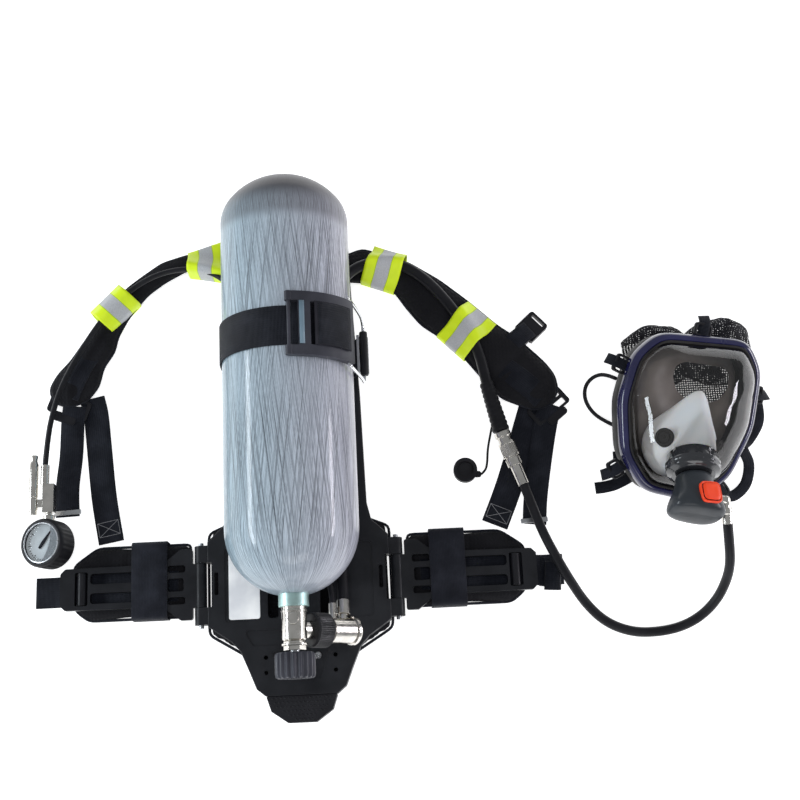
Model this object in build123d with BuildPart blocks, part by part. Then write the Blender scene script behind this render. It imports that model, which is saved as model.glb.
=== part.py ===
from build123d import *
from math import acos, atan2, cos, degrees, pi, radians, sin, sqrt, tan

# Self-contained breathing apparatus (air pack), lying on its back pad.
# Millimetres. +Z up, +Y along the cylinder towards its dome, +X to the right.
# The origin is on the floor, under the cylinder's axis.

# ---------------------------------------------------------------- driving dimensions
CYLINDER_RADIUS = 79
CYLINDER_AXIS_Z = 118
DOME_START_Y = 225
DOME_EDGE_RADIUS = 45
DOME_CROWN_RADIUS = 87.5
SHOULDER_START_Y = -156
NECK_RADIUS = 17.5
NECK_END_Y = -247
WRAP_THICKNESS = 8
LINER_THICKNESS = 4
BOND_GAP = 0.3
NECK_BORE_RADIUS = 11

PLATE_BOTTOM_Z = 8
PLATE_TOP_Z = 30
PLATE_SKIN = 4
PLATE_WALL = 3
PLATE_END_Y = -343

HINGE_X = 121
HINGE_Z = 19
HINGE_TOP_Y = -157
HINGE_BOTTOM_Y = -254
HINGE_NOTCH_TOP_Y = -178
HINGE_NOTCH_BOTTOM_Y = -233
KNUCKLE_RADIUS = 8
PIN_RADIUS = 3
RUNNING_GAP = 0.05

WING_MID_Y = -203.5
WING_BOTTOM_Z = 16
WING_TOP_Z = 24
WING_END_X = 294
ROLLER_X = 268
ROLLER_RADIUS = 5.5
ROLLER_PIN_RADIUS = 1.6
HIP_PAD_BOTTOM_Z = 1.4
HIP_PAD_TOP_Z = 11.6
BAND_INNER_X = 162
BAND_OUTER_X = 206
BAND_THICKNESS = 1.2

PAD_BOTTOM_Z = 1.4
PAD_TOP_Z = 17
WEBBING_THICKNESS = 2

STRAP_MID_Y = 68
STRAP_WIDTH = 48
STRAP_THICKNESS = 2.4
STRAP_RADIUS = CYLINDER_RADIUS + 0.4 + STRAP_THICKNESS / 2
STRAP_SLOT_X = 70
LEVER_WIDTH = 77
LEVER_INNER_RADIUS = 83
LEVER_OUTER_RADIUS = 92
LEVER_PIVOT_ANGLE = 6
BAIL_PIVOT_ANGLE = 60
BAIL_WIRE_RADIUS = 2
BAIL_BOTTOM = (92, 72)

VALVE_RADIUS = 14.5
VALVE_END_Y = -286
OUTLET_Y = -273
OUTLET_TILT = 40
SPINDLE_RADIUS = 5
WHEEL_RADIUS = 23.5
WHEEL_START_Y = -299
WHEEL_END_Y = -328
REDUCER_START = 50
REDUCER_END = 88
CAP_START = 82
REDUCER_RADIUS = 15
GAUGE_PORT_AT = 55
SUPPLY_PORT_AT = 71
RELIEF_VALVE_AT = 70
PORT_DROP = 20
PORT_LENGTH = 20

COUPLING_START = (262, -30, 24)
COUPLING_HEADING = (0.32, -0.95, 0)

GAUGE_CENTRE = (-309, -146, 27)
GAUGE_TILT = -20
GAUGE_RADIUS = 30.5
GAUGE_HALF_DEPTH = 16
STEM_RADIUS = 4

MASK_ORIGIN = (488, -28, 67)
MASK_TURN = (18, 12, -15)
MASK_RIM = [(50, 98), (83, 64), (90, 0), (72, -66), (34, -102)]
RIM_WIDTH = 9
VISOR_SPHERE = 115
VISOR_APEX = 66
VISOR_THICKNESS = 2.5
PORT_CENTRE = (0, -62, 48)
PORT_HEADING = (0, -0.85, 0.53)
PORT_RADIUS = 26
DEMAND_START = 12
DEMAND_END = 66
ELBOW_AT = (43, -4, 34)
ELBOW_HEADING = (0.06, -0.95, -0.3)
ELBOW_LENGTH = 28

GAUGE_HOSE_DIAMETER = 7
SUPPLY_SLEEVE_DIAMETER = 14
SUPPLY_HOSE_DIAMETER = 12
DUST_CORD_DIAMETER = 3
NECK_CORD_DIAMETER = 5
ARC_SHARE = 0.45
HOSE_END = (519.8, -168.4, 82.2)

GAUGE_HOSE_ROUTE = [
    (42.1, -241, 71), (41.5, -219, 62.5), (31, -198, 47), (6, -181, 38.5), (-25, -164, 36),
    (-45, -131, 36.5), (-51, -84, 35.5), (-50, -32, 36.5), (-52, 24, 35.5), (-50, 80, 36.5),
    (-54, 128, 36.5), (-69, 169, 36.5), (-98, 200, 33), (-138, 210, 27.5), (-177, 203, 27),
    (-213, 181, 28), (-241, 150, 29), (-264, 117, 28), (-283, 84, 28), (-299, 51, 27.5),
    (-309, 14, 27.5), (-313.5, -20, 27), (-315, -46, 27),
]
SUPPLY_UPPER_ROUTE = [
    (54.4, -237.3, 59.4), (54.2, -208, 48.5), (53.5, -173, 41), (50.5, -126, 38.5), (51, -68, 39.5),
    (49, -6, 38.5), (51, 54, 39.5), (49, 105, 38.5), (52, 145, 39), (64, 178, 38.5), (89, 200, 36),
    (121, 206, 31.5), (152, 198, 29.5), (179, 176, 29), (202, 147, 29.3), (224, 112, 29.5),
    (240, 75, 29.5), (247, 33, 27), (255, -6, 25), COUPLING_START,
]
SUPPLY_HOSE_ROUTE = [
    (285, -98.2, 24), (294, -127, 24.4), (304, -159, 25), (318, -190, 24), (334, -220, 19),
    (352, -249, 12.6), (376, -273, 8.2), (408, -286, 6.4), (440.6, -286.9, 6.2),
    (470.1, -281.7, 6.4), (494, -270, 10.5), (511.8, -252.8, 21.5), (521.1, -233.7, 38.1),
    (523.6, -215.8, 58.2), (521.4, -194.1, 74.1), HOSE_END,
]
DUST_CORD_ROUTE = [
    (250.5, -20.5, 17), (247, -34, 9.5), (244, -49, 3.4), (243, -63, 2), (240, -74, 3.6),
    (234.2, -78.5, 5.4),
]
NECK_CORD_ROUTE = [
    (410, 30, 40), (400, 42, 22), (387, 43, 8), (376, 32, 3), (374, 14, 3), (382, -3, 3),
    (394, -16, 9), (406, -27, 22),
]


# ---------------------------------------------------------------- shared helpers
def save(builder, name, place=Location()):
    """Write a finished piece, moved from its own frame to its place."""
    piece = builder.part.moved(place)
    piece.label = name
    export_step(piece, f"parts/{name}.step")


def mirrored(points):
    """Outline points for the right half, followed by the same ones for the left half."""
    return [*points, *[(-x, y) for x, y in reversed(points)]]


def slab(outline, bottom, top, corner=6):
    """Flat piece of one rounded outline, between two heights."""
    with BuildPart() as piece:
        with BuildSketch(Plane.XY.offset(bottom)):
            with BuildLine():
                FilletPolyline(*outline, radius=corner, close=True)
            make_face()
        extrude(amount=top - bottom)
    return piece


def strip(route, width, bottom, top):
    """Flat strap that follows a route in plan."""
    with BuildPart() as piece:
        with BuildSketch(Plane.XY.offset(bottom)):
            with BuildLine() as centre:
                FilletPolyline(*route, radius=width * 0.8)
            trace(centre.line, line_width=width)
        extrude(amount=top - bottom)
    return piece


def turned(profile):
    """Piece turned about its own Z axis; the profile is (radius, height) corners."""
    with BuildPart() as piece:
        with BuildSketch(Plane.XZ):
            with BuildLine():
                Polyline(*profile, close=True)
            make_face()
        revolve(axis=Axis.Z)
    return piece


def rod(radius, start, end):
    """Plain turned rod between two heights."""
    return turned([(0, start), (radius, start), (radius, end), (0, end)])


def tube(name, route, diameter):
    """Hose of straight runs joined by the largest tangent arcs that the runs allow."""
    points = [Vector(*point) for point in route]
    radii = []
    for before, corner, after in zip(points, points[1:], points[2:]):
        into, out = corner - before, after - corner
        half_turn = radians(into.get_angle(out)) / 2
        radii.append(ARC_SHARE * min(into.length, out.length) / tan(half_turn))
    with BuildPart() as hose:
        with BuildLine() as path:
            FilletPolyline(*points, radius=radii)
        with BuildSketch(Plane(path.line @ 0, z_dir=path.line % 0)):
            Circle(diameter / 2)
        sweep(path=path.line)
    save(hose, name)
    print(name, "length", round(path.wires()[0].length, 1), "least radius", round(min(radii), 1))


def polar(radius, angle):
    """Point in the XZ plane at an angle from the top of the cylinder."""
    turn = radians(angle)
    return (radius * sin(turn), CYLINDER_AXIS_Z + radius * cos(turn))


# ---------------------------------------------------------------- cylinder
def bottle(inset, neck_radius, neck_end):
    """Solid of the bottle's outer form, moved inward by inset."""
    radius = CYLINDER_RADIUS - inset
    edge_x = CYLINDER_RADIUS - DOME_EDGE_RADIUS
    crown_drop = sqrt((DOME_CROWN_RADIUS - DOME_EDGE_RADIUS) ** 2 - edge_x**2)
    edge_turn = degrees(atan2(crown_drop, edge_x))
    neck_turn = degrees(acos(neck_radius / radius))
    with BuildPart() as form:
        with BuildSketch(Plane.XY.offset(CYLINDER_AXIS_Z)):
            with BuildLine():
                edge = CenterArc((edge_x, DOME_START_Y), DOME_EDGE_RADIUS - inset, 0, edge_turn)
                crown = CenterArc((0, DOME_START_Y - crown_drop), DOME_CROWN_RADIUS - inset,
                                  edge_turn, 90 - edge_turn)
                shoulder = CenterArc((0, SHOULDER_START_Y), radius, -neck_turn, neck_turn)
                Line(shoulder @ 1, edge @ 0)
                Polyline(shoulder @ 0, (neck_radius, neck_end), (0, neck_end), crown @ 1)
            make_face()
        revolve(axis=Axis((0, 0, CYLINDER_AXIS_Z), (0, 1, 0)))
    return form.part


def make_cylinder():
    wrap_end = SHOULDER_START_Y - CYLINDER_RADIUS + 1.5
    liner_inset = WRAP_THICKNESS + BOND_GAP
    liner_form = bottle(liner_inset, NECK_RADIUS, NECK_END_Y)
    wrap_core = bottle(WRAP_THICKNESS, NECK_RADIUS, NECK_END_Y)
    cavity = bottle(liner_inset + LINER_THICKNESS, NECK_BORE_RADIUS, NECK_END_Y - 1)

    with BuildPart() as cylinder_wrap:
        add(bottle(0, NECK_RADIUS + 1, wrap_end))
        add(wrap_core, mode=Mode.SUBTRACT)
    save(cylinder_wrap, "cylinder_wrap")

    with BuildPart() as cylinder_liner:
        add(liner_form)
        add(cavity, mode=Mode.SUBTRACT)
    save(cylinder_liner, "cylinder_liner")


def make_cradle():
    """Rubber saddles that carry the cylinder on the plate."""
    with BuildPart() as cylinder_cradle:
        with BuildSketch(Plane.XY.offset(PLATE_TOP_Z)):
            with Locations((0, STRAP_MID_Y), (0, -118)):
                RectangleRounded(72, 40, 6)
        extrude(amount=20)
        with Locations(Location((0, 0, CYLINDER_AXIS_Z), (90, 0, 0))):
            Cylinder(CYLINDER_RADIUS + 0.2, 500, mode=Mode.SUBTRACT)
    save(cylinder_cradle, "cylinder_cradle")


# ---------------------------------------------------------------- backplate
PLATE_HALF = [
    (52, 214), (77, 186), (84, 30), (87, -112), (92, -134), (112, -153), (112, -257),
    (84, -276), (73, -288), (62, -314), (54, -334), (43, PLATE_END_Y),
]


def make_backplate():
    hinge_middle = (HINGE_TOP_Y + HINGE_BOTTOM_Y) / 2
    with BuildPart() as backplate:
        with BuildSketch(Plane.XY.offset(PLATE_BOTTOM_Z)) as outline:
            with BuildLine():
                FilletPolyline(*mirrored(PLATE_HALF), radius=3.5, close=True)
            make_face()
        extrude(amount=PLATE_TOP_Z - PLATE_BOTTOM_Z)
        fillet(backplate.faces().sort_by(Axis.Z)[-1].outer_wire().edges(), 1.5)
        with BuildSketch(Plane.XY.offset(PLATE_BOTTOM_Z)):
            add(outline.sketch.faces()[0])
            offset(amount=-PLATE_WALL)
        extrude(amount=PLATE_TOP_Z - PLATE_SKIN - PLATE_BOTTOM_Z, mode=Mode.SUBTRACT)

        # stiffening ribs under the skin
        rib_height = PLATE_TOP_Z - PLATE_SKIN - PLATE_BOTTOM_Z - 5
        with BuildSketch(Plane.XY.offset(PLATE_TOP_Z - PLATE_SKIN)):
            for y, length in ((150, 150), (-20, 158), (-150, 200)):
                with Locations((0, y)):
                    Rectangle(length, 2.5)
            with Locations((0, -60)):
                with Locations((22, 0), (-22, 0)):
                    Rectangle(2.5, 180)
        extrude(amount=-rib_height)

        # knuckles of the two hip hinges
        for side in (-1, 1):
            for top, bottom in ((HINGE_TOP_Y, HINGE_NOTCH_TOP_Y), (HINGE_NOTCH_BOTTOM_Y, HINGE_BOTTOM_Y)):
                middle, length = (top + bottom) / 2, top - bottom
                with Locations(Location((side * HINGE_X, middle, HINGE_Z), (90, 0, 0))):
                    Cylinder(KNUCKLE_RADIUS, length)
                with Locations((side * (HINGE_X + 108) / 2, middle, HINGE_Z)):
                    Box(HINGE_X - 108, length, 2 * KNUCKLE_RADIUS)
            with Locations((side * 114, (HINGE_NOTCH_TOP_Y + HINGE_NOTCH_BOTTOM_Y) / 2, HINGE_Z)):
                Box(14, HINGE_NOTCH_TOP_Y - HINGE_NOTCH_BOTTOM_Y, 30, mode=Mode.SUBTRACT)
            with Locations(Location((side * HINGE_X, hinge_middle, HINGE_Z), (90, 0, 0))):
                Cylinder(PIN_RADIUS, 120, mode=Mode.SUBTRACT)

        # windows and slots through the skin
        with BuildSketch(Plane.XY.offset(PLATE_TOP_Z - PLATE_SKIN - 1)):
            for side in (-1, 1):
                with Locations((side * STRAP_SLOT_X, STRAP_MID_Y)):
                    RectangleRounded(8, STRAP_WIDTH + 4, 2)
                with Locations((side * 32, -230)):
                    RectangleRounded(13, 40, 4)
                with Locations((side * 101, -205)):
                    RectangleRounded(5, 28, 2)
                with Locations((side * 38, 176)):
                    RectangleRounded(26, 12, 4)
            with Locations((42, -297), (42, -315), (-42, -297), (-42, -315)):
                Circle(2.6)
        extrude(amount=PLATE_SKIN + 2, mode=Mode.SUBTRACT)

        # shallow recesses in the top face
        with BuildSketch(Plane.XY.offset(PLATE_TOP_Z)):
            with BuildLine():
                FilletPolyline((-68, -264), (68, -264), (57, -283), (-57, -283), radius=3, close=True)
            make_face()
            with BuildLine():
                FilletPolyline((-35, -290), (35, -290), (24, -324), (-24, -324), radius=3, close=True)
            make_face()
            for side in (-1, 1):
                with Locations((side * 69, -207)):
                    RectangleRounded(44, 92, 5)
        extrude(amount=-1.2, mode=Mode.SUBTRACT)
        with Locations((21, -297, PLATE_TOP_Z), (-21, -297, PLATE_TOP_Z)):
            Hole(2)
    save(backplate, "backplate")

    with BuildPart() as plate_fasteners:
        with Locations((21, -297, PLATE_TOP_Z - 1.2), (-21, -297, PLATE_TOP_Z - 1.2)):
            Cylinder(1.9, PLATE_SKIN, align=(Align.CENTER, Align.CENTER, Align.MAX))
            Cylinder(4, 2.4, align=(Align.CENTER, Align.CENTER, Align.MIN))
        with Locations((21, -297, PLATE_TOP_Z + 0.2), (-21, -297, PLATE_TOP_Z + 0.2)):
            Box(5.4, 1.2, 3)
            Box(1.2, 5.4, 3)
        for side in (-1, 1):
            with Locations(Location((side * HINGE_X, hinge_middle, HINGE_Z), (90, 0, 0))):
                Cylinder(PIN_RADIUS, HINGE_TOP_Y - HINGE_BOTTOM_Y + 8)
    save(plate_fasteners, "plate_fasteners")

    with BuildPart() as info_plate:
        with BuildSketch(Plane.XY.offset(PLATE_TOP_Z - 1.2)):
            with Locations((-67, -209)):
                RectangleRounded(38, 82, 3)
        extrude(amount=0.8)
    save(info_plate, "info_plate")

    with BuildPart() as base_bumper:
        with BuildSketch(Plane.XY.offset(PLATE_BOTTOM_Z - 1)):
            with BuildLine():
                FilletPolyline((43, PLATE_END_Y), (37, -361), (17, -375), (-17, -375), (-37, -361),
                               (-43, PLATE_END_Y), radius=1.5, close=True)
            make_face()
        extrude(amount=PLATE_TOP_Z - PLATE_BOTTOM_Z)
        fillet(base_bumper.edges().filter_by(GeomType.LINE).filter_by(Axis.Z, reverse=True)
               .group_by(Axis.Z)[-1].sort_by(Axis.Y)[:-1], 1.2)
    save(base_bumper, "base_bumper")

    save(slab(mirrored([(66, 190), (66, -118), (106, -140), (106, -262), (50, -280)]),
              0, PLATE_BOTTOM_Z, 8), "back_pad")


# ---------------------------------------------------------------- hip plates and waist belt
def make_wing(side, name):
    """One hip plate with its roller, pad, band and belt; side is +1 on the right."""
    with BuildPart() as hip_plate:
        with BuildSketch(Plane.XY.offset(WING_BOTTOM_Z)):
            with BuildLine():
                FilletPolyline((side * 131, -160), (side * 146, -160), (side * 168, -177),
                               (side * 288, -178), (side * WING_END_X, -184), (side * WING_END_X, -223),
                               (side * 288, -229), (side * 168, -230), (side * 146, -247),
                               (side * 131, -247), radius=3, close=True)
            make_face()
            with Locations((side * 215, -191.5), (side * 215, -215.5)):
                RectangleRounded(84, 13, 4, mode=Mode.SUBTRACT)
            with Locations((side * ROLLER_X, WING_MID_Y)):
                RectangleRounded(16, 41, 2, mode=Mode.SUBTRACT)
            with Locations((side * 151, -184), (side * 151, -223)):
                RectangleRounded(22, 9, 3, mode=Mode.SUBTRACT)
            with Locations((side * 152, WING_MID_Y)):
                RectangleRounded(20, 16, 3, mode=Mode.SUBTRACT)
        extrude(amount=WING_TOP_Z - WING_BOTTOM_Z)
        notch = HINGE_NOTCH_TOP_Y - HINGE_NOTCH_BOTTOM_Y
        notch_mid = (HINGE_NOTCH_TOP_Y + HINGE_NOTCH_BOTTOM_Y) / 2
        with Locations(Location((side * HINGE_X, notch_mid, HINGE_Z), (90, 0, 0))):
            Cylinder(KNUCKLE_RADIUS - 1, notch - 1)
        with Locations((side * (HINGE_X + 7), notch_mid, 20)):
            Box(14, notch - 1, 8)
        with Locations(Location((side * HINGE_X, notch_mid, HINGE_Z), (90, 0, 0))):
            Cylinder(PIN_RADIUS + RUNNING_GAP, notch + 2, mode=Mode.SUBTRACT)
        with Locations(Location((side * ROLLER_X, WING_MID_Y, 20), (90, 0, 0))):
            Cylinder(ROLLER_PIN_RADIUS + RUNNING_GAP, 48, mode=Mode.SUBTRACT)
    save(hip_plate, f"{name}_hip_plate")

    with BuildPart() as belt_roller:
        with Locations(Location((side * ROLLER_X, WING_MID_Y, 20), (90, 0, 0))):
            Cylinder(ROLLER_RADIUS, 39.5)
            Cylinder(ROLLER_PIN_RADIUS, 47.8)
    save(belt_roller, f"{name}_belt_roller")

    pad = [(147, -150), (252, -150), (282, -172), (280, -228), (262, -243), (147, -243)]
    save(slab([(side * x, y) for x, y in pad], HIP_PAD_BOTTOM_Z, HIP_PAD_TOP_Z, 6), f"{name}_hip_pad")

    # the belt climbs from its free end, passes under the roller and lies under the plate;
    # an elastic band holds the pad to the plate
    climb = ((329, 1.2), (302, 1.3), (289, 8), (283, 13), (260, 13.2), (150, 13.1))
    belt = [(side * x, z) for x, z in climb]
    with BuildPart() as waist_webbing:
        with Locations(((BAND_INNER_X + BAND_OUTER_X) / 2 * side, -196.5, 13.4)):
            Box(BAND_OUTER_X - BAND_INNER_X, 97, 26.8)
            Box(BAND_OUTER_X - BAND_INNER_X, 97 - 2 * BAND_THICKNESS, 26.8 - 2 * BAND_THICKNESS,
                mode=Mode.SUBTRACT)
        with BuildSketch(Plane.XZ.offset(-(WING_MID_Y + 19))):
            with BuildLine() as centre_line:
                FilletPolyline(*belt, radius=2.5)
            trace(centre_line.line, line_width=WEBBING_THICKNESS)
        extrude(amount=38)
    save(waist_webbing, f"{name}_waist_webbing")


# ---------------------------------------------------------------- shoulder harness
RIGHT_PAD_ROUTE = [(87, 205), (128, 198), (166, 175), (204, 140), (236, 104), (266, 68), (300, 30)]
LEFT_PAD_ROUTE = [(-82, 222), (-148, 222), (-184, 203), (-209, 180), (-240, 142), (-266, 100), (-284, 62)]
RIGHT_PAD_WIDTH = 56
LEFT_PAD_WIDTH = 34


def sleeve(middle, along, length, width):
    """Flat rectangular sleeve round a shoulder pad."""
    turn = Vector(*along).get_signed_angle(Vector(1, 0, 0), Vector(0, 0, -1))
    height = PAD_TOP_Z + 1.2
    with BuildPart() as band:
        with Locations((0, 0, height / 2)):
            Box(length, width, height)
            Box(length, width - 2, height - 2, mode=Mode.SUBTRACT)
    return band.part.moved(Location((*middle, 0), (0, 0, turn)))


def between(start, end):
    """Middle of a segment and its direction."""
    return ((start[0] + end[0]) / 2, (start[1] + end[1]) / 2), (end[0] - start[0], end[1] - start[1], 0)


def band_sleeves(pad_route, width, bands):
    """Reflective sleeves; each band is the pad segment it sits on and its length."""
    sleeves = []
    for segment, length in bands:
        middle, along = between(*pad_route[segment:segment + 2])
        sleeves.append(sleeve(middle, along, length, width + 3))
    return sleeves


def ladder_adjuster(place):
    """Frame with a cross bar and a grip tab."""
    with BuildPart() as adjuster:
        with BuildSketch(Plane.XY.offset(5)):
            RectangleRounded(54, 26, 4)
            with Locations((0, 6.2), (0, -5.8)):
                RectangleRounded(43, 7.6, 1.5, mode=Mode.SUBTRACT)
        extrude(amount=4)
        with BuildSketch(Plane.XY.offset(5)):
            with Locations((0, -17)):
                RectangleRounded(30, 10, 4)
        extrude(amount=5)
    return adjuster.part.moved(place)


def make_harness():
    with BuildPart() as shoulder_pads:
        add(strip(RIGHT_PAD_ROUTE, RIGHT_PAD_WIDTH, PAD_BOTTOM_Z, PAD_TOP_Z).part)
        add(strip(LEFT_PAD_ROUTE, LEFT_PAD_WIDTH, PAD_BOTTOM_Z, PAD_TOP_Z).part)
    save(shoulder_pads, "shoulder_pads")

    with BuildPart() as reflective_bands:
        add(band_sleeves(RIGHT_PAD_ROUTE, RIGHT_PAD_WIDTH, ((1, 34), (4, 36))))
        add(band_sleeves(LEFT_PAD_ROUTE, LEFT_PAD_WIDTH, ((0, 42), (3, 34))))
    save(reflective_bands, "reflective_bands")

    # on each side a branch to the belt, and above it the loose end of the strap
    with BuildPart() as shoulder_webbing:
        add(strip([(300, -8), (288, -42), (266, -100), (247, -144)], 34, 0.2, 2.2).part)
        add(strip([(322, -12), (310, -60), (300, -112), (297, -144)], 30, 2.4, 4.4).part)
        add(strip([(-258, 24), (-254, -20), (-246, -90), (-236, -144)], 32, 0.2, 2.2).part)
        add(strip([(-286, 18), (-288, -30), (-292, -72), (-291, -108)], 30, 2.4, 4.4).part)
    save(shoulder_webbing, "shoulder_webbing")

    with BuildPart() as chest_buckle:
        with BuildSketch(Plane.XY.offset(2)):
            RectangleRounded(30, 32, 4)
            with Locations((0, 11)):
                RectangleRounded(20, 4, 1, mode=Mode.SUBTRACT)
            with Locations((0, -19)):
                Rectangle(22, 8)
        extrude(amount=9)
        with BuildSketch(Plane.YZ.offset(-15)):
            with Locations((-5, 6.5)):
                Rectangle(22, 4)
        extrude(amount=30, mode=Mode.SUBTRACT)
        with Locations((-13, -4, 6.5), (13, -4, 6.5)):
            Box(4, 22, 9)
    with BuildPart() as strap_buckles:
        add(ladder_adjuster(Location((326, 6, 0), (0, 0, 38))))
        add(ladder_adjuster(Location((-291, 34, 0), (0, 0, -20))))
        add(chest_buckle.part.moved(Location((312, 114, 0), (0, 0, -48))))
    save(strap_buckles, "strap_buckles")


# ---------------------------------------------------------------- cylinder strap
def make_cylinder_strap():
    pivot = polar(88.5, LEVER_PIVOT_ANGLE)
    bail_pivot = polar(87.5, BAIL_PIVOT_ANGLE)
    strap_edge = STRAP_MID_Y + STRAP_WIDTH / 2
    top = polar(STRAP_RADIUS, LEVER_PIVOT_ANGLE)
    side = polar(STRAP_RADIUS, -97.4)

    with BuildPart() as cylinder_strap:
        with BuildSketch(Plane.XZ.offset(-strap_edge)):
            with BuildLine() as round_cylinder:
                ThreePointArc(top, polar(STRAP_RADIUS, -45), side)
            trace(round_cylinder.line, line_width=STRAP_THICKNESS)
            with BuildLine() as through_plate:
                Polyline(side, (-70.5, 31), (-68, 22.4), (68, 22.4), (70.5, 31), (84.5, 58), (84.5, 62))
            trace(through_plate.line, line_width=STRAP_THICKNESS)
            with Locations(pivot):
                Circle(5)
            with Locations((pivot[0], (pivot[1] + top[1]) / 2)):
                Rectangle(4, pivot[1] - top[1])
            with Locations(pivot):
                Circle(2.6, mode=Mode.SUBTRACT)
        extrude(amount=STRAP_WIDTH)
    save(cylinder_strap, "cylinder_strap")

    # saddle that the wire rests in, open outwards
    with BuildPart() as strap_anchor:
        with BuildSketch(Plane.XZ.offset(-(STRAP_MID_Y + 24))):
            with BuildLine():
                Polyline((83.3, 62), (98, 62), (98, 65.4), (90, 66.4), (86.6, 70), (86.6, 76), (83.3, 76),
                         close=True)
            make_face()
        extrude(amount=48)
    save(strap_anchor, "strap_anchor")

    with BuildPart() as strap_lever:
        with BuildSketch(Plane.XZ.offset(-(STRAP_MID_Y + LEVER_WIDTH / 2))):
            with BuildLine():
                CenterArc((0, CYLINDER_AXIS_Z), LEVER_OUTER_RADIUS, 90 - 64, 58)
                CenterArc((0, CYLINDER_AXIS_Z), LEVER_INNER_RADIUS, 90 - 64, 58)
                Line(polar(LEVER_INNER_RADIUS, 64), polar(LEVER_OUTER_RADIUS, 64))
                Line(polar(LEVER_INNER_RADIUS, 6), polar(LEVER_OUTER_RADIUS, 6))
            make_face()
            with Locations(pivot):
                Circle(4.6)
        extrude(amount=LEVER_WIDTH)
        # windows between the cross bars
        for low, high, wide in ((-6, 13, 54), (22, 30, 52), (46, 55, 52)):
            with BuildSketch(Plane.XZ.offset(-(STRAP_MID_Y + wide / 2))):
                with BuildLine():
                    Polyline(polar(78, low), polar(100, low), polar(100, high), polar(78, high), close=True)
                make_face()
            extrude(amount=wide, mode=Mode.SUBTRACT)
        with Locations(Location((pivot[0], STRAP_MID_Y, pivot[1]), (90, 0, 0))):
            Cylinder(2.4, LEVER_WIDTH)
        with Locations(Location((bail_pivot[0], STRAP_MID_Y, bail_pivot[1]), (90, 0, 0))):
            Cylinder(BAIL_WIRE_RADIUS + RUNNING_GAP, LEVER_WIDTH + 2, mode=Mode.SUBTRACT)
    save(strap_lever, "strap_lever")

    near, far = STRAP_MID_Y - 42, STRAP_MID_Y + 42
    corners = [(bail_pivot[0], near, bail_pivot[1]), (bail_pivot[0], far, bail_pivot[1]),
               (BAIL_BOTTOM[0], far, BAIL_BOTTOM[1]), (BAIL_BOTTOM[0], near, BAIL_BOTTOM[1])]
    with BuildPart() as strap_bail:
        with BuildLine() as wire:
            FilletPolyline(*corners, radius=2.5, close=True)
        start = wire.line @ 0
        with BuildSketch(Plane(start, z_dir=wire.line % 0)):
            Circle(BAIL_WIRE_RADIUS)
        sweep(path=wire.line)
        with Locations(Location((BAIL_BOTTOM[0], STRAP_MID_Y, BAIL_BOTTOM[1]), (90, 0, 0))):
            Cylinder(4.5, 56)
    save(strap_bail, "strap_bail")


# ---------------------------------------------------------------- cylinder valve and reducer
VALVE_PLACE = Plane(origin=(0, 0, CYLINDER_AXIS_Z), x_dir=(1, 0, 0), z_dir=(0, -1, 0)).location
OUTLET_PLACE = Plane(
    origin=(0, OUTLET_Y, CYLINDER_AXIS_Z), x_dir=(0, 1, 0),
    z_dir=(cos(radians(OUTLET_TILT)), 0, -sin(radians(OUTLET_TILT))),
).location


def make_valve():
    """Pieces along the cylinder's axis; heights here are distances along -Y."""
    body_end = -VALVE_END_Y
    spindle_seat = body_end - 22
    outlet = VALVE_PLACE.inverse() * OUTLET_PLACE
    form = [(0, 215), (NECK_BORE_RADIUS, 215), (NECK_BORE_RADIUS, -NECK_END_Y), (VALVE_RADIUS, -NECK_END_Y),
            (VALVE_RADIUS, body_end - 2), (VALVE_RADIUS - 2, body_end), (0, body_end)]
    with BuildPart() as valve_body:
        add(turned(form).part)
        add(rod(11, 0, 26).part.moved(outlet))
        add(rod(3, 214, spindle_seat + 1).part, mode=Mode.SUBTRACT)
        add(rod(SPINDLE_RADIUS + RUNNING_GAP, spindle_seat, body_end + 1).part, mode=Mode.SUBTRACT)
        add(rod(4, 6, 27).part.moved(outlet), mode=Mode.SUBTRACT)
        with Locations(Location((0, VALVE_RADIUS + 1, 262), (90, 0, 0))):
            Cylinder(4, 11, mode=Mode.SUBTRACT)
    save(valve_body, "valve_body", VALVE_PLACE)

    with BuildPart() as valve_fittings:
        with BuildSketch(Plane.XY.offset(body_end)):
            RegularPolygon(13, 6)
            Circle(SPINDLE_RADIUS + RUNNING_GAP, mode=Mode.SUBTRACT)
        extrude(amount=10.5)
        with BuildSketch(Plane.XZ.offset(-14.6)):
            with Locations((0, 262)):
                RegularPolygon(7, 6)
        extrude(amount=-7)
        with Locations(Location((0, 14.7, 262), (90, 0, 0))):
            Cylinder(3.95, 4.4, align=(Align.CENTER, Align.CENTER, Align.MIN))
    save(valve_fittings, "valve_fittings", VALVE_PLACE)

    save(rod(SPINDLE_RADIUS, spindle_seat + 1, -WHEEL_END_Y - 4), "valve_spindle", VALVE_PLACE)

    with BuildPart() as valve_handwheel:
        with BuildSketch(Plane.XY.offset(-WHEEL_START_Y)):
            Circle(WHEEL_RADIUS)
            with PolarLocations(WHEEL_RADIUS + 1.4, 18):
                Circle(3, mode=Mode.SUBTRACT)
            Circle(SPINDLE_RADIUS, mode=Mode.SUBTRACT)
        extrude(amount=WHEEL_START_Y - WHEEL_END_Y)
        with BuildSketch(Plane.XY.offset(-WHEEL_END_Y)):
            Circle(17)
            Circle(9, mode=Mode.SUBTRACT)
        extrude(amount=-8, mode=Mode.SUBTRACT)
    save(valve_handwheel, "valve_handwheel", VALVE_PLACE)


HOSE_PORTS = ((GAUGE_PORT_AT, 5), (SUPPLY_PORT_AT, 6))


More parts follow.
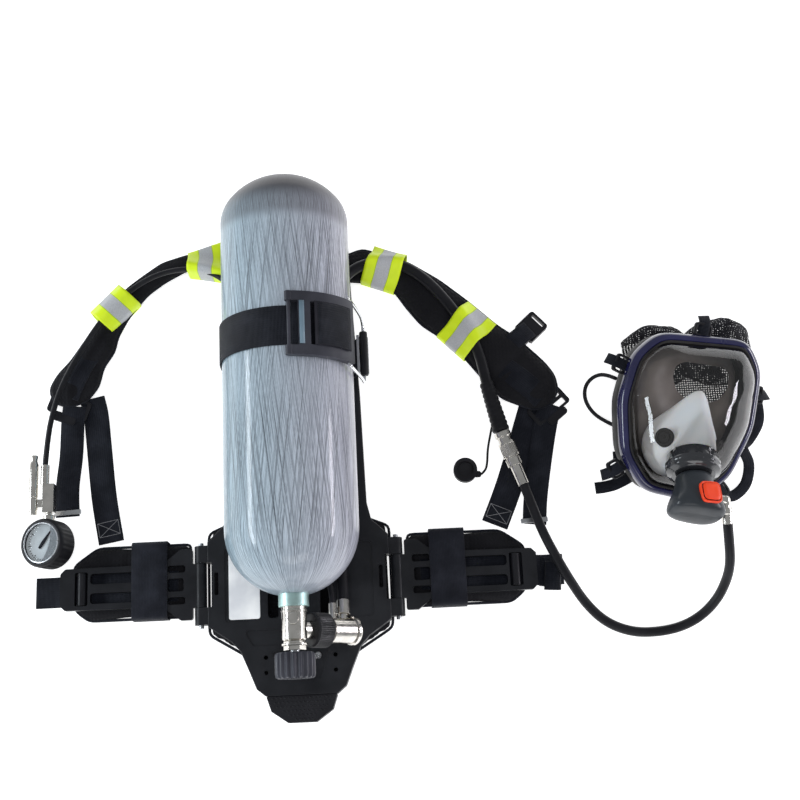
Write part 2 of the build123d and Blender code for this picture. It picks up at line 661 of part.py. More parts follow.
def port_place(along):
    """Frame of a hose port on the reducer's axis, dropping under the cylinder's shoulder."""
    tilt, drop = radians(OUTLET_TILT), radians(PORT_DROP)
    centre = (along * cos(tilt), OUTLET_Y, CYLINDER_AXIS_Z - along * sin(tilt))
    return Plane(origin=centre, x_dir=(1, 0, 0), z_dir=(0, cos(drop), -sin(drop))).location


def make_reducer():
    """Pieces along the valve's outlet; heights are distances from the cylinder's axis."""
    knurl = [(20.5, 24), (20.5, 44), (18.5, 46), (8.3, 46), (8.3, 41), (11.4, 41), (11.4, 22), (18.5, 22)]
    save(turned(knurl), "coupling_ring", OUTLET_PLACE)

    nipple = [(2, 26.2), (10.6, 26.2), (10.6, 40), (8, 40.4), (8, 56), (2, 56)]
    with BuildPart() as reducer_body:
        add(rod(REDUCER_RADIUS, REDUCER_START, CAP_START).part)
        for along, radius in HOSE_PORTS:
            boss = rod(radius, 12, PORT_LENGTH).part.moved(port_place(along))
            add(boss.moved(OUTLET_PLACE.inverse()))
        with Locations(Location((0, 0, RELIEF_VALVE_AT), (90, 0, 90))):
            Cylinder(4.5, 29, align=(Align.CENTER, Align.CENTER, Align.MIN))
        add(rod(11, 60, REDUCER_END).part, mode=Mode.SUBTRACT)
        add(turned(nipple).part)
    save(reducer_body, "reducer_body", OUTLET_PLACE)

    cap = [(0, CAP_START), (17, CAP_START), (17, CAP_START + 4), (15.5, REDUCER_END), (0, REDUCER_END)]
    save(turned(cap), "reducer_cap", OUTLET_PLACE)
    piston = [(0, 62), (10.9, 62), (10.9, 66), (3, 66), (3, 73), (0, 73)]
    save(turned(piston), "reducer_piston", OUTLET_PLACE)
    with BuildPart() as reducer_spring:
        with BuildLine() as coil:
            Helix(pitch=3.4, height=13.6, radius=7, center=(0, 0, 67.15))
        with BuildSketch(Plane(coil.line @ 0, z_dir=coil.line % 0)):
            Circle(1)
        sweep(path=coil.line, is_frenet=True)
    save(reducer_spring, "reducer_spring", OUTLET_PLACE)


def make_hose_fittings():
    """Crimped ends of the two hoses at the reducer."""
    with BuildPart() as hose_fittings:
        add(rod(5, PORT_LENGTH, 34).part.moved(port_place(GAUGE_PORT_AT)))
        add(rod(8.6, PORT_LENGTH, 38).part.moved(port_place(SUPPLY_PORT_AT)))
    save(hose_fittings, "hose_fittings")


# ---------------------------------------------------------------- quick coupling
COUPLING_PLACE = Plane(origin=COUPLING_START, x_dir=(0, 0, 1), z_dir=COUPLING_HEADING).location


def make_coupling():
    """Socket, sliding sleeve and plug; heights are distances from the boot's end."""
    save(turned([(7.6, -13), (9.2, -13), (10.5, -2), (10.5, 0), (7.6, 0)]), "hose_boot", COUPLING_PLACE)
    socket = [(0, 0.1), (10.5, 0.1), (10.5, 6), (8.5, 8), (8.5, 28), (5.05, 28), (5.05, 14), (0, 14)]
    save(turned(socket), "coupling_socket", COUPLING_PLACE)
    save(turned([(8.8, 14), (10.6, 14), (11, 16), (11, 34), (8.8, 34)]), "coupling_sleeve", COUPLING_PLACE)
    plug = [(0, 18), (5, 18), (5, 28.3), (8.4, 28.3), (8.4, 36), (9.8, 36), (9.8, 46), (7.4, 46),
            (7.4, 72), (0, 72)]
    save(turned(plug), "coupling_plug", COUPLING_PLACE)

    with BuildPart() as dust_cap:
        with BuildSketch():
            Circle(15)
            with Locations((0, -1)):
                Circle(15)
        extrude(amount=9)
        with BuildSketch(Plane.XY.offset(4)):
            with Locations((15.5, -6.5)):
                RectangleRounded(9, 8, 3)
        extrude(amount=2)
        with BuildSketch(Plane.XY.offset(9)):
            Circle(10.5)
        extrude(amount=-6, mode=Mode.SUBTRACT)
    save(dust_cap, "dust_cap", Location((214, -72, 0.2)))


# ---------------------------------------------------------------- pressure gauge
GAUGE_PLACE = Location(GAUGE_CENTRE, (0, GAUGE_TILT, 0))
STEM_PLACE = Plane(origin=GAUGE_CENTRE, x_dir=(1, 0, 0), z_dir=(0, 1, 0)).location


def make_gauge():
    case = [(0, -GAUGE_HALF_DEPTH), (26, -GAUGE_HALF_DEPTH), (GAUGE_RADIUS, -11), (GAUGE_RADIUS, 11),
            (28, GAUGE_HALF_DEPTH), (25.1, GAUGE_HALF_DEPTH), (25.1, -12), (0, -12)]
    with BuildPart() as gauge_case:
        add(turned(case).part)
        add(rod(STEM_RADIUS, 27, 46).part.moved(GAUGE_PLACE.inverse() * STEM_PLACE))
        add(rod(7, 27, 36).part.moved(GAUGE_PLACE.inverse() * STEM_PLACE))
    save(gauge_case, "gauge_case", GAUGE_PLACE)

    # the dial stands on the block of its movement
    with BuildPart() as gauge_dial:
        add(turned([(0, 9), (25, 9), (25, 10), (0, 10)]).part)
        with Locations((0, 4, -1.5)):
            Box(16, 22, 21)
        add(rod(1 + RUNNING_GAP, 3.8, 11).part, mode=Mode.SUBTRACT)
    save(gauge_dial, "gauge_dial", GAUGE_PLACE)
    save(turned([(0, 13.4), (25, 13.4), (25, 15.4), (0, 15.4)]), "gauge_lens", GAUGE_PLACE)
    with BuildPart() as gauge_needle:
        add(turned([(0, 4), (1, 4), (1, 10.6), (2.6, 10.6), (2.6, 12.6), (0, 12.6)]).part)
        with BuildSketch(Plane.XY.offset(11)):
            with BuildLine():
                Polyline((-1.2, 5), (1.2, 5), (0.6, -19), (-0.6, -19), close=True)
            make_face()
        extrude(amount=0.8)
    save(gauge_needle, "gauge_needle", GAUGE_PLACE * Location((0, 0, 0), (0, 0, -38)))

    middle_x, _, middle_z = GAUGE_CENTRE
    with BuildPart() as gauge_manifold:
        with Locations((middle_x, -89, middle_z)):
            Box(14, 36, 15)
        with Locations((middle_x - 10, -95, middle_z)):
            Box(8, 10, 9)
        with Locations(Location((middle_x, -106, middle_z), (90, 0, 0))):
            Cylinder(STEM_RADIUS + RUNNING_GAP, 16, mode=Mode.SUBTRACT)
        with Locations(Location((-315, -58.5, middle_z), (90, 0, 0))):
            Cylinder(5.4, 25)
    save(gauge_manifold, "gauge_manifold")

    whistle = [(0, 0), (5, 0), (5, 6), (6, 8), (6, 66), (4, 70), (4, 76), (0, 76)]
    with BuildPart() as whistle_tube:
        add(turned(whistle).part)
        with Locations((0, 6, 40)):
            Box(6, 6, 10, mode=Mode.SUBTRACT)
    tube_place = Plane(origin=(middle_x - 20, -109, middle_z), x_dir=(1, 0, 0), z_dir=(0, 1, 0)).location
    save(whistle_tube, "alarm_whistle", tube_place)


# ---------------------------------------------------------------- face mask and demand valve
MASK_PLACE = Location(MASK_ORIGIN, MASK_TURN)
PORT_PLACE = Plane(origin=PORT_CENTRE, x_dir=(1, 0, 0), z_dir=PORT_HEADING).location
ELBOW_CORNER = (MASK_PLACE * PORT_PLACE * Location(ELBOW_AT)).position
ELBOW_PLACE = Plane(origin=ELBOW_CORNER, x_dir=(0, 0, 1), z_dir=ELBOW_HEADING).location


def rim_prism(inset, bottom, top):
    """Prism of the mask's outline, moved in by inset."""
    with BuildPart() as prism:
        with BuildSketch(Plane.XY.offset(bottom)):
            with BuildLine():
                FilletPolyline(*mirrored(MASK_RIM), radius=24, close=True)
            make_face()
            offset(amount=-inset)
        extrude(amount=top - bottom)
    return prism.part


def visor_form(inset, radius):
    """Domed solid that fills the visor's outline."""
    with BuildPart() as form:
        add(rim_prism(inset, -6, 80))
        with Locations((0, 0, VISOR_APEX - VISOR_SPHERE)):
            Sphere(radius, mode=Mode.INTERSECT)
    return form.part


def make_mask():
    with BuildPart() as mask_frame:
        add(rim_prism(0, -8, 8))
        add(rim_prism(RIM_WIDTH, -9, 9), mode=Mode.SUBTRACT)
    save(mask_frame, "mask_frame", MASK_PLACE)

    with BuildPart() as visor:
        add(visor_form(RIM_WIDTH + 0.1, VISOR_SPHERE))
        add(visor_form(RIM_WIDTH + VISOR_THICKNESS, VISOR_SPHERE - VISOR_THICKNESS), mode=Mode.SUBTRACT)
        add(rod(PORT_RADIUS + 0.1, -30, 40).part.moved(PORT_PLACE), mode=Mode.SUBTRACT)
        add(rod(PORT_RADIUS + 2.4, 7.5, 40).part.moved(PORT_PLACE), mode=Mode.SUBTRACT)
    save(visor, "visor", MASK_PLACE)

    with BuildPart() as face_seal:
        add(rim_prism(2, -38, -8.1))
        add(rim_prism(9, -40, -6), mode=Mode.SUBTRACT)
    save(face_seal, "face_seal", MASK_PLACE)

    cup_place = Location((0, -34, 0))
    cup = [(35, -34), (38, -34), (33, -8), (22, 14), (12, 20), (8, 20), (8, 17.5), (11, 17.5), (20, 12),
           (30.5, -9)]
    vents = [Plane(origin=(side * 27, 8, 4), x_dir=(0, 1, 0), z_dir=(side * 0.86, 0.25, 0.45)).location
             for side in (-1, 1)]
    with BuildPart() as inner_mask:
        add(turned(cup).part)
        for vent in vents:
            add(rod(8, -1.5, 2.5).part.moved(vent))
    save(inner_mask, "inner_mask", MASK_PLACE * cup_place)

    ring = [(21, -6), (PORT_RADIUS, -6), (PORT_RADIUS, 8), (28, 8), (28, DEMAND_START - 0.2),
            (21, DEMAND_START - 0.2)]
    save(turned(ring), "demand_port_ring", MASK_PLACE * PORT_PLACE)

    # net bunched above the mask, two straps, and the buckles round the frame
    with BuildPart() as mask_buckles:
        with Locations((0, 107, -4), (-94, 44, -12), (94, 44, -12), (-72, -84, -12), (72, -84, -12)):
            Box(22, 16, 6)
        add(rim_prism(-0.2, -20, 9), mode=Mode.SUBTRACT)
    with BuildPart() as head_harness:
        with BuildSketch(Plane.YZ.offset(428)):
            with BuildLine():
                FilletPolyline((22, 0.4), (94, 0.4), (104, 30), (100, 62), (80, 62), (66, 32), (22, 20),
                               radius=5, close=True)
            make_face()
        extrude(amount=150)
        add(strip([(380, -102), (404, -100), (430, -88)], 16, 0.4, 2.4).part)
        add(strip([(588, 34), (604, -6), (604, -44), (584, -70)], 16, 0.4, 2.4).part)
        add(mask_buckles.part.moved(MASK_PLACE))
    save(head_harness, "head_harness")


def make_demand_valve():
    """Demand valve on the mask's port; heights are distances out of the port."""
    place = MASK_PLACE * PORT_PLACE
    chamber = Location((0, 0, 40), (-90, 0, 0))
    with BuildPart() as demand_valve_body:
        add(turned([(0, DEMAND_START), (22, DEMAND_START), (24, 18), (24, 24), (0, 24)]).part)
        with BuildSketch(Plane.XY.offset(20)):
            RectangleRounded(66, 54, 22)
        extrude(amount=DEMAND_END - 20)
        fillet(demand_valve_body.faces().sort_by(Axis.Z)[-1].edges(), 9)
        add(rod(20, -16, 18).part.moved(chamber), mode=Mode.SUBTRACT)
        with BuildSketch(Plane.XZ.offset(-30)):
            with Locations((0, 40)):
                RectangleRounded(22, 22, 4)
        extrude(amount=9.5, mode=Mode.SUBTRACT)
        add(rod(10, DEMAND_START - 1, 26).part, mode=Mode.SUBTRACT)
    save(demand_valve_body, "demand_valve_body", place)
    save(turned([(0, 9), (19.6, 9), (19.6, 10.5), (0, 10.5)]), "demand_diaphragm", place * chamber)
    with BuildPart() as demand_button:
        with BuildSketch(Plane.XZ.offset(-30.5)):
            with Locations((0, 40)):
                RectangleRounded(21.4, 21.4, 4)
        extrude(amount=6.5)
        fillet(demand_button.faces().sort_by(Axis.Y)[-1].edges(), 1)
    save(demand_button, "demand_button", place)

    reach, across, height = ELBOW_AT
    with BuildPart() as hose_elbow:
        with Locations(Location(((reach + 33) / 2, across, height), (0, 90, 0))):
            Cylinder(5.5, reach - 33)
        with Locations(ELBOW_AT):
            Sphere(6)
        ferrule = [(0, 0), (5.5, 0), (5.5, 9), (7.4, 9), (7.4, 15), (6.6, 16), (6.6, ELBOW_LENGTH),
                   (0, ELBOW_LENGTH)]
        add(turned(ferrule).part.moved(place.inverse() * ELBOW_PLACE))
    save(hose_elbow, "hose_elbow", place)


make_cylinder()
make_cradle()
make_backplate()
make_wing(1, "right")
make_wing(-1, "left")
make_harness()
make_cylinder_strap()
make_valve()
make_reducer()
make_hose_fittings()
make_coupling()
make_gauge()
make_mask()
make_demand_valve()

tube("gauge_hose", GAUGE_HOSE_ROUTE, GAUGE_HOSE_DIAMETER)
tube("supply_hose_upper", SUPPLY_UPPER_ROUTE, SUPPLY_SLEEVE_DIAMETER)
tube("supply_hose", SUPPLY_HOSE_ROUTE, SUPPLY_HOSE_DIAMETER)
tube("dust_cap_cord", DUST_CORD_ROUTE, DUST_CORD_DIAMETER)
tube("neck_cord", NECK_CORD_ROUTE, NECK_CORD_DIAMETER)
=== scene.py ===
import math

import bmesh
import bpy
from mathutils import Matrix, Vector, noise


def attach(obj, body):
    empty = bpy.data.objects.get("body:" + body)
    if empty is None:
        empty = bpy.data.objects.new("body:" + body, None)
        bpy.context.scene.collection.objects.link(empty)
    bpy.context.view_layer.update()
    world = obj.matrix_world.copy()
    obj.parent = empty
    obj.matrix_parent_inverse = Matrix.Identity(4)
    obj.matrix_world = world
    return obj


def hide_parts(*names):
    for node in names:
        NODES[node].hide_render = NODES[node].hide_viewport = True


# Air pack lying on its back pad. Routes and outlines are in millimetres, as in the CAD source;
# every mesh is made in metres, in the frame that the CAD, the scene and the physics share.
MM = 0.001

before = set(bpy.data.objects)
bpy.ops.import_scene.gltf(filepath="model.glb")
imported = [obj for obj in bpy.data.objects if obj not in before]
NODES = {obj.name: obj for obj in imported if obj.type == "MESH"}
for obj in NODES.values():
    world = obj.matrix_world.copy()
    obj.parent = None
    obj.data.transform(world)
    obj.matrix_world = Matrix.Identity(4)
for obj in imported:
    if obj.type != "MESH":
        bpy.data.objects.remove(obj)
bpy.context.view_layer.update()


# ---------------------------------------------------------------- sizes shared with the CAD
AXIS_Z = 118
CYLINDER_RADIUS = 79
STRAP_Y = 68
STRAP_WIDTH = 48
OUTLET_Y = -273
WING_Y = -203.5
GAUGE_CENTRE = (-309, -146, 27)
DIAL_ZERO = 52.0        # degrees from the dial's X axis to the zero mark
DIAL_TURN = 270.0       # degrees from the zero mark to the last one

GAUGE_HOSE = [
    (42.1, -241, 71), (41.5, -219, 62.5), (31, -198, 47), (6, -181, 38.5), (-25, -164, 36),
    (-45, -131, 36.5), (-51, -84, 35.5), (-50, -32, 36.5), (-52, 24, 35.5), (-50, 80, 36.5),
    (-54, 128, 36.5), (-69, 169, 36.5), (-98, 200, 33), (-138, 210, 27.5), (-177, 203, 27),
    (-213, 181, 28), (-241, 150, 29), (-264, 117, 28), (-283, 84, 28), (-299, 51, 27.5),
    (-309, 14, 27.5), (-313.5, -20, 27), (-315, -46, 27),
]
SUPPLY_UPPER = [
    (54.4, -237.3, 59.4), (54.2, -208, 48.5), (53.5, -173, 41), (50.5, -126, 38.5),
    (51, -68, 39.5), (49, -6, 38.5), (51, 54, 39.5), (49, 105, 38.5), (52, 145, 39),
    (64, 178, 38.5), (89, 200, 36), (121, 206, 31.5), (152, 198, 29.5), (179, 176, 29),
    (202, 147, 29.3), (224, 112, 29.5), (240, 75, 29.5), (247, 33, 27), (255, -6, 25),
    (262, -30, 24),
]
SUPPLY_HOSE = [
    (285, -98.2, 24), (294, -127, 24.4), (304, -159, 25), (318, -190, 24), (334, -220, 19),
    (352, -249, 12.6), (376, -273, 8.2), (408, -286, 6.4), (440.6, -286.9, 6.2),
    (470.1, -281.7, 6.4), (494, -270, 10.5), (511.8, -252.8, 21.5), (521.1, -233.7, 38.1),
    (523.6, -215.8, 58.2), (521.4, -194.1, 74.1), (519.8, -168.4, 82.2),
]
DUST_CORD = [
    (250.5, -20.5, 17), (247, -34, 9.5), (244, -49, 3.4), (243, -63, 2), (240, -74, 3.6),
    (234.2, -78.5, 5.4),
]
NECK_CORD = [
    (410, 30, 40), (400, 42, 22), (387, 43, 8), (376, 32, 3), (374, 14, 3), (382, -3, 3),
    (394, -16, 9), (406, -27, 22),
]
RIGHT_PAD = [
    (66, 224), (95, 234), (155, 212), (195, 185), (232, 153), (267, 119), (288, 103), (306, 86),
    (326, 65), (338, 47), (341, 26), (330, 6), (306, 0), (265, 18), (251, 37), (239, 50), (223, 72),
    (190, 105), (167, 122), (149, 146), (134, 170), (91, 185), (66, 190),
]
LEFT_PAD = [
    (-80, 240), (-138, 236), (-172, 226), (-202, 205), (-219, 192), (-255, 149), (-291, 95),
    (-307, 78), (-318, 58), (-312, 40), (-290, 32), (-268, 38), (-252, 58), (-246, 84), (-232, 104),
    (-228, 124), (-214, 150), (-190, 180), (-167, 197), (-137, 213), (-80, 212),
]
BACK_PAD = [(66, 190), (66, -118), (115, -138), (115, -266), (62, -298), (40, -345),
            (-40, -345), (-62, -298), (-115, -266), (-115, -138), (-66, -118), (-66, 190)]
HIP_PAD = [(134, -150), (252, -150), (283, -172), (281, -228), (262, -243), (134, -243)]
MASK_RIM = [(60, 100), (87, 66), (92, 0), (74, -66), (36, -104)]
NET_PITCH = 2.6         # spacing of the points of the bunched net


def turned_frame(origin, across, along):
    """Matrix in millimetres of a frame with its X and Z directions given."""
    z = Vector(along).normalized()
    x = Vector(across)
    x = (x - z * x.dot(z)).normalized()
    y = z.cross(x)
    matrix = Matrix((x, y, z)).transposed().to_4x4()
    matrix.translation = Vector(origin)
    return matrix


TURN = [math.radians(angle) for angle in (18, 12, -15)]
MASK = (Matrix.Translation((488, -28, 67)) @ Matrix.Rotation(TURN[0], 4, "X")
        @ Matrix.Rotation(TURN[1], 4, "Y") @ Matrix.Rotation(TURN[2], 4, "Z"))
PORT = MASK @ turned_frame((0, -62, 48), (1, 0, 0), (0, -0.85, 0.53))
TILT = math.radians(40)
OUTLET = turned_frame((0, OUTLET_Y, AXIS_Z), (0, 1, 0), (math.cos(TILT), 0, -math.sin(TILT)))
VALVE = turned_frame((0, 0, AXIS_Z), (1, 0, 0), (0, -1, 0))
GAUGE = Matrix.Translation(GAUGE_CENTRE) @ Matrix.Rotation(math.radians(-20), 4, "Y")
CYLINDER = turned_frame((0, 0, AXIS_Z), (1, 0, 0), (0, 1, 0))
COUPLING = turned_frame((262, -30, 24), (0, 0, 1), (0.32, -0.95, 0))
IDENTITY = Matrix.Identity(4)


# ---------------------------------------------------------------- camera and light
def make_camera():
    tilt, roll, distance = math.radians(75), math.radians(2.7), 1.661
    back = Vector((-math.sin(roll) * math.cos(tilt), -math.cos(roll) * math.cos(tilt), math.sin(tilt)))
    right = Vector((math.cos(roll), -math.sin(roll), 0))
    up = back.cross(right)
    data = bpy.data.cameras.new("camera")
    data.lens = 57.6
    data.sensor_width = 36
    camera = bpy.data.objects.new("camera", data)
    camera.matrix_world = Matrix((right, up, back)).transposed().to_4x4()
    camera.location = Vector((0.1353, 0.0253, 0)) + back * distance
    bpy.context.scene.collection.objects.link(camera)
    bpy.context.scene.camera = camera


def area_light(name, at, toward, size, power, color=(1, 1, 1), mirrored=True):
    data = bpy.data.lights.new(name, "AREA")
    data.shape = "RECTANGLE"
    data.size, data.size_y = size
    data.energy = power
    data.color = color
    light = bpy.data.objects.new(name, data)
    light.location = at
    light.rotation_euler = (Vector(toward) - Vector(at)).to_track_quat("-Z", "Y").to_euler()
    light.visible_glossy = mirrored
    bpy.context.scene.collection.objects.link(light)


def make_studio():
    scene = bpy.context.scene
    scene.view_settings.view_transform = "Standard"
    world = bpy.data.worlds.new("studio")
    world.use_nodes = True
    background = world.node_tree.nodes["Background"]
    background.inputs["Color"].default_value = (0.94, 0.97, 1, 1)
    background.inputs["Strength"].default_value = 0.34
    scene.world = world
    area_light("overhead", (0.1, -0.5, 2.3), (0.1, 0, 0), (1.6, 1.6), 19, mirrored=False)
    area_light("left_window", (-1.9, -0.15, 0.9), (0, 0, 0.1), (1.7, 0.3), 24, (0.86, 0.94, 1))
    area_light("right_window", (2.1, -0.1, 0.6), (0.2, 0, 0.1), (1.2, 0.24), 14, (0.95, 0.92, 1))
    area_light("front_fill", (0.3, -2.2, 1.2), (0.2, 0, 0.05), (1.6, 0.6), 8)

    bpy.ops.mesh.primitive_plane_add(size=8, location=(0.1, 0, -0.0005))
    floor = bpy.context.object
    floor.name = "floor"
    paint = Paint("floor", (0.92, 0.92, 0.92), 0.9)
    paint.set("Emission Color", (1, 1, 1, 1))
    paint.set("Emission Strength", 0.72)
    floor.data.materials.append(paint.material)


# ---------------------------------------------------------------- materials
class Paint:
    """A Principled material with a few helpers for its procedural nodes."""

    def __init__(self, name, color, roughness, metallic=0.0):
        self.material = bpy.data.materials.new(name)
        self.material.use_nodes = True
        self.tree = self.material.node_tree
        self.shader = self.tree.nodes["Principled BSDF"]
        self.set("Base Color", (*color[:3], 1))
        self.set("Roughness", roughness)
        self.set("Metallic", metallic)
        self.normal = None

    def set(self, socket, value):
        self.shader.inputs[socket].default_value = value

    def node(self, kind, inputs=(), **settings):
        node = self.tree.nodes.new(kind)
        for key, value in settings.items():
            setattr(node, key, value)
        for key, value in dict(inputs).items():
            if isinstance(value, bpy.types.NodeSocket):
                self.tree.links.new(value, node.inputs[key])
            else:
                node.inputs[key].default_value = value
        return node

    def link(self, socket, name):
        self.tree.links.new(socket, self.shader.inputs[name])

    def math(self, operation, first, second=0.0):
        return self.node("ShaderNodeMath", {0: first, 1: second}, operation=operation).outputs[0]

    def place(self, kind="Object"):
        return self.node("ShaderNodeTexCoord").outputs[kind]

    def scaled(self, scale):
        return self.node("ShaderNodeMapping", {0: self.place(), 3: scale}).outputs[0]

    def between(self, value, start, end, low=0.0, high=1.0, **settings):
        """Value carried from the span start to end onto the span low to high."""
        inputs = {0: value, 1: start, 2: end, 3: low, 4: high}
        return self.node("ShaderNodeMapRange", inputs, **settings).outputs[0]

    def grain(self, scale, detail=3.0, vector=None):
        inputs = {"Scale": scale, "Detail": detail, "Vector": vector or self.place()}
        return self.node("ShaderNodeTexNoise", inputs).outputs[0]

    def ramp(self, factor, low, high, start=0.3, end=0.7):
        ramp = self.node("ShaderNodeValToRGB", {0: factor})
        ramp.color_ramp.elements[0].position = start
        ramp.color_ramp.elements[1].position = end
        ramp.color_ramp.elements[0].color = (*low, 1)
        ramp.color_ramp.elements[1].color = (*high, 1)
        return ramp.outputs[0]

    def mix(self, factor, first, second):
        node = self.node("ShaderNodeMix", data_type="RGBA")
        for socket, value in ((node.inputs[0], factor), (node.inputs[6], first), (node.inputs[7], second)):
            if isinstance(value, bpy.types.NodeSocket):
                self.tree.links.new(value, socket)
            elif isinstance(value, tuple):
                socket.default_value = (*value, 1)
            else:
                socket.default_value = value
        return node.outputs[2]

    def vary(self, low, high, scale=18, start=0.35, end=0.65):
        """Slow colour variation over the surface."""
        self.link(self.ramp(self.grain(scale), low, high, start, end), "Base Color")

    def rough(self, low, high, scale=60):
        self.link(self.between(self.grain(scale, 4.0), 0.3, 0.7, low, high), "Roughness")

    def bump(self, height, strength, distance):
        inputs = {"Height": height, "Strength": strength, "Distance": distance}
        if self.normal is not None:
            inputs["Normal"] = self.normal
        self.normal = self.node("ShaderNodeBump", inputs).outputs[0]
        self.link(self.normal, "Normal")


def plastic(name, color, roughness=0.42, grain_size=900, depth=0.00012):
    """Moulded plastic or rubber with a fine grain and scuffed patches."""
    paint = Paint(name, color, roughness)
    light = tuple(min(1, value * 1.5 + 0.004) for value in color)
    paint.vary(color, light, 22)
    paint.rough(roughness - 0.07, roughness + 0.1, 40)
    paint.bump(paint.grain(grain_size, 2.0), 0.35, depth)
    if max(color) < 0.05:
        paint.set("Specular IOR Level", 0.26)
    return paint


def metal(name, color, roughness=0.2, streak=(300, 300, 300)):
    """Plated or turned metal with faint streaks and finger marks."""
    paint = Paint(name, color, roughness, 1.0)
    dull = tuple(value * 0.82 for value in color)
    paint.vary(dull, color, 60)
    paint.rough(roughness - 0.06, roughness + 0.12, 90)
    paint.bump(paint.grain(4, 2.0, paint.scaled(streak)), 0.12, 0.0001)
    return paint


def woven(name, color, pitch=0.0012, lean=0.6, strength=0.8):
    """Cloth with a weave from the surface's place, so that it needs no UVs."""
    paint = Paint(name, color, 0.85)
    light = tuple(value * 1.9 + 0.006 for value in color)
    scale = 1 / pitch
    threads = []
    for direction, share in (("X", 1.0), ("Y", lean)):
        inputs = {"Vector": paint.place(), "Scale": scale / 6.28 * share, "Distortion": 0.6, "Detail": 1.0}
        threads.append(paint.node("ShaderNodeTexWave", inputs, bands_direction=direction).outputs[1])
    cross = paint.math("MULTIPLY", *threads)
    paint.link(paint.mix(paint.grain(30), color, light), "Base Color")
    paint.set("Sheen Weight", 0.08)
    paint.set("Sheen Roughness", 0.4)
    paint.set("Specular IOR Level", 0.2)
    paint.bump(paint.grain(120, 3.0), 0.35, 0.0012)
    paint.bump(cross, strength, 0.0004)
    return paint


def webbing(name, color, rib=0.0016):
    """Ribbed webbing; UV is metres across and along the strap."""
    paint = Paint(name, color, 0.72)
    light = tuple(value * 2.2 + 0.01 for value in color)
    split = paint.node("ShaderNodeSeparateXYZ", {0: paint.place("UV")})
    along = paint.math("SINE", paint.math("MULTIPLY", split.outputs[1], 6.283 / rib))
    across = paint.math("SINE", paint.math("MULTIPLY", split.outputs[0], 6.283 / (rib * 1.7)))
    ribs = paint.math("ADD", paint.math("MULTIPLY", along, 0.75), paint.math("MULTIPLY", across, 0.25))
    shade = paint.math("ADD", paint.math("MULTIPLY", ribs, 0.22), paint.grain(45, 4.0))
    paint.link(paint.ramp(shade, color, light, 0.35, 0.85), "Base Color")
    paint.set("Sheen Weight", 0.06)
    paint.set("Sheen Roughness", 0.45)
    paint.set("Specular IOR Level", 0.25)
    paint.bump(ribs, 0.6, 0.0005)
    return paint


def reflective(name):
    """Fluorescent tape with a grey stripe down its middle; UV across runs from 0 to 1."""
    paint = Paint(name, (0.6, 0.9, 0.01), 0.5)
    split = paint.node("ShaderNodeSeparateXYZ", {0: paint.place("UV")})
    off = paint.math("ABSOLUTE", paint.math("SUBTRACT", split.outputs[1], 0.5))
    stripe = paint.math("LESS_THAN", off, 0.185)
    edge = paint.math("LESS_THAN", paint.math("ABSOLUTE", paint.math("SUBTRACT", off, 0.195)), 0.007)
    lime = paint.mix(paint.grain(50), (0.66, 0.86, 0.004), (0.8, 1.0, 0.015))
    grey = paint.mix(paint.grain(900, 1.0), (0.32, 0.33, 0.35), (0.6, 0.61, 0.63))
    both = paint.mix(stripe, lime, grey)
    paint.link(paint.mix(edge, both, (0.28, 0.42, 0.02)), "Base Color")
    paint.bump(paint.grain(700, 2.0), 0.3, 0.0002)
    paint.bump(edge, 0.5, 0.0006)
    paint.bump(paint.grain(55, 2.0), 0.5, 0.002)
    return paint


def fibre_wrap(name):
    """Crossing bands of grey fibre under clear resin, wound at a small angle to the axis, with painted
    light: its left side tinted blue and its right side pale violet.
    """
    paint = Paint(name, (0.4, 0.42, 0.43), 0.38)
    split = paint.node("ShaderNodeSeparateXYZ", {0: paint.place()})
    height = paint.math("SUBTRACT", split.outputs[2], AXIS_Z * MM)
    turn = paint.math("ARCTAN2", split.outputs[0], height)
    around = paint.math("MULTIPLY", turn, CYLINDER_RADIUS * MM)
    layers = []
    for lean, seed in ((0.12, 0.0), (-0.12, 7.0)):
        offset = paint.math("ADD", around, paint.math("MULTIPLY", split.outputs[1], lean))
        for width, stretch in ((520.0, 4.2), (1400.0, 9.0)):
            vector = paint.node("ShaderNodeCombineXYZ", {
                0: paint.math("MULTIPLY", offset, width),
                1: paint.math("MULTIPLY", split.outputs[1], stretch), 2: seed})
            layers.append(paint.grain(1.0, 2.0, vector.outputs[0]))
    coarse = paint.math("MINIMUM", layers[0], layers[2])
    fine = paint.math("MINIMUM", layers[1], layers[3])
    weave = paint.math("ADD", paint.math("MULTIPLY", coarse, 0.6), paint.math("MULTIPLY", fine, 0.4))
    color = paint.ramp(weave, (0.04, 0.045, 0.05), (0.54, 0.57, 0.59), 0.29, 0.54)
    ragged = paint.math("ADD", split.outputs[1], paint.math("MULTIPLY", weave, 0.05))
    shoulder = paint.between(ragged, 0.228, 0.243, 0.0, 0.5, interpolation_type="SMOOTHSTEP")
    crown = paint.between(ragged, 0.252, 0.28, 0.0, 0.45, interpolation_type="SMOOTHSTEP")
    dome = paint.math("ADD", shoulder, crown)
    # painted light: the colour is tinted blue on the cylinder's left side and pale violet on its right, as
    # the two window lamps light them
    side = paint.between(split.outputs[0], -0.075, 0.07)
    tint = paint.mix(side, (0.72, 0.9, 1.0), (0.93, 0.9, 1.0))
    side_lit_color = paint.node("ShaderNodeMix", {0: 1.0, 6: color, 7: tint}, data_type="RGBA",
                        blend_type="MULTIPLY").outputs[2]
    paint.link(paint.mix(dome, side_lit_color, (0.05, 0.044, 0.048)), "Base Color")
    paint.link(paint.math("SUBTRACT", 0.5, paint.math("MULTIPLY", dome, 0.42)), "Coat Weight")
    paint.set("Specular IOR Level", 0.25)
    paint.set("Coat Roughness", 0.1)
    paint.set("Coat IOR", 1.5)
    paint.bump(weave, 0.25, 0.0006)
    return paint


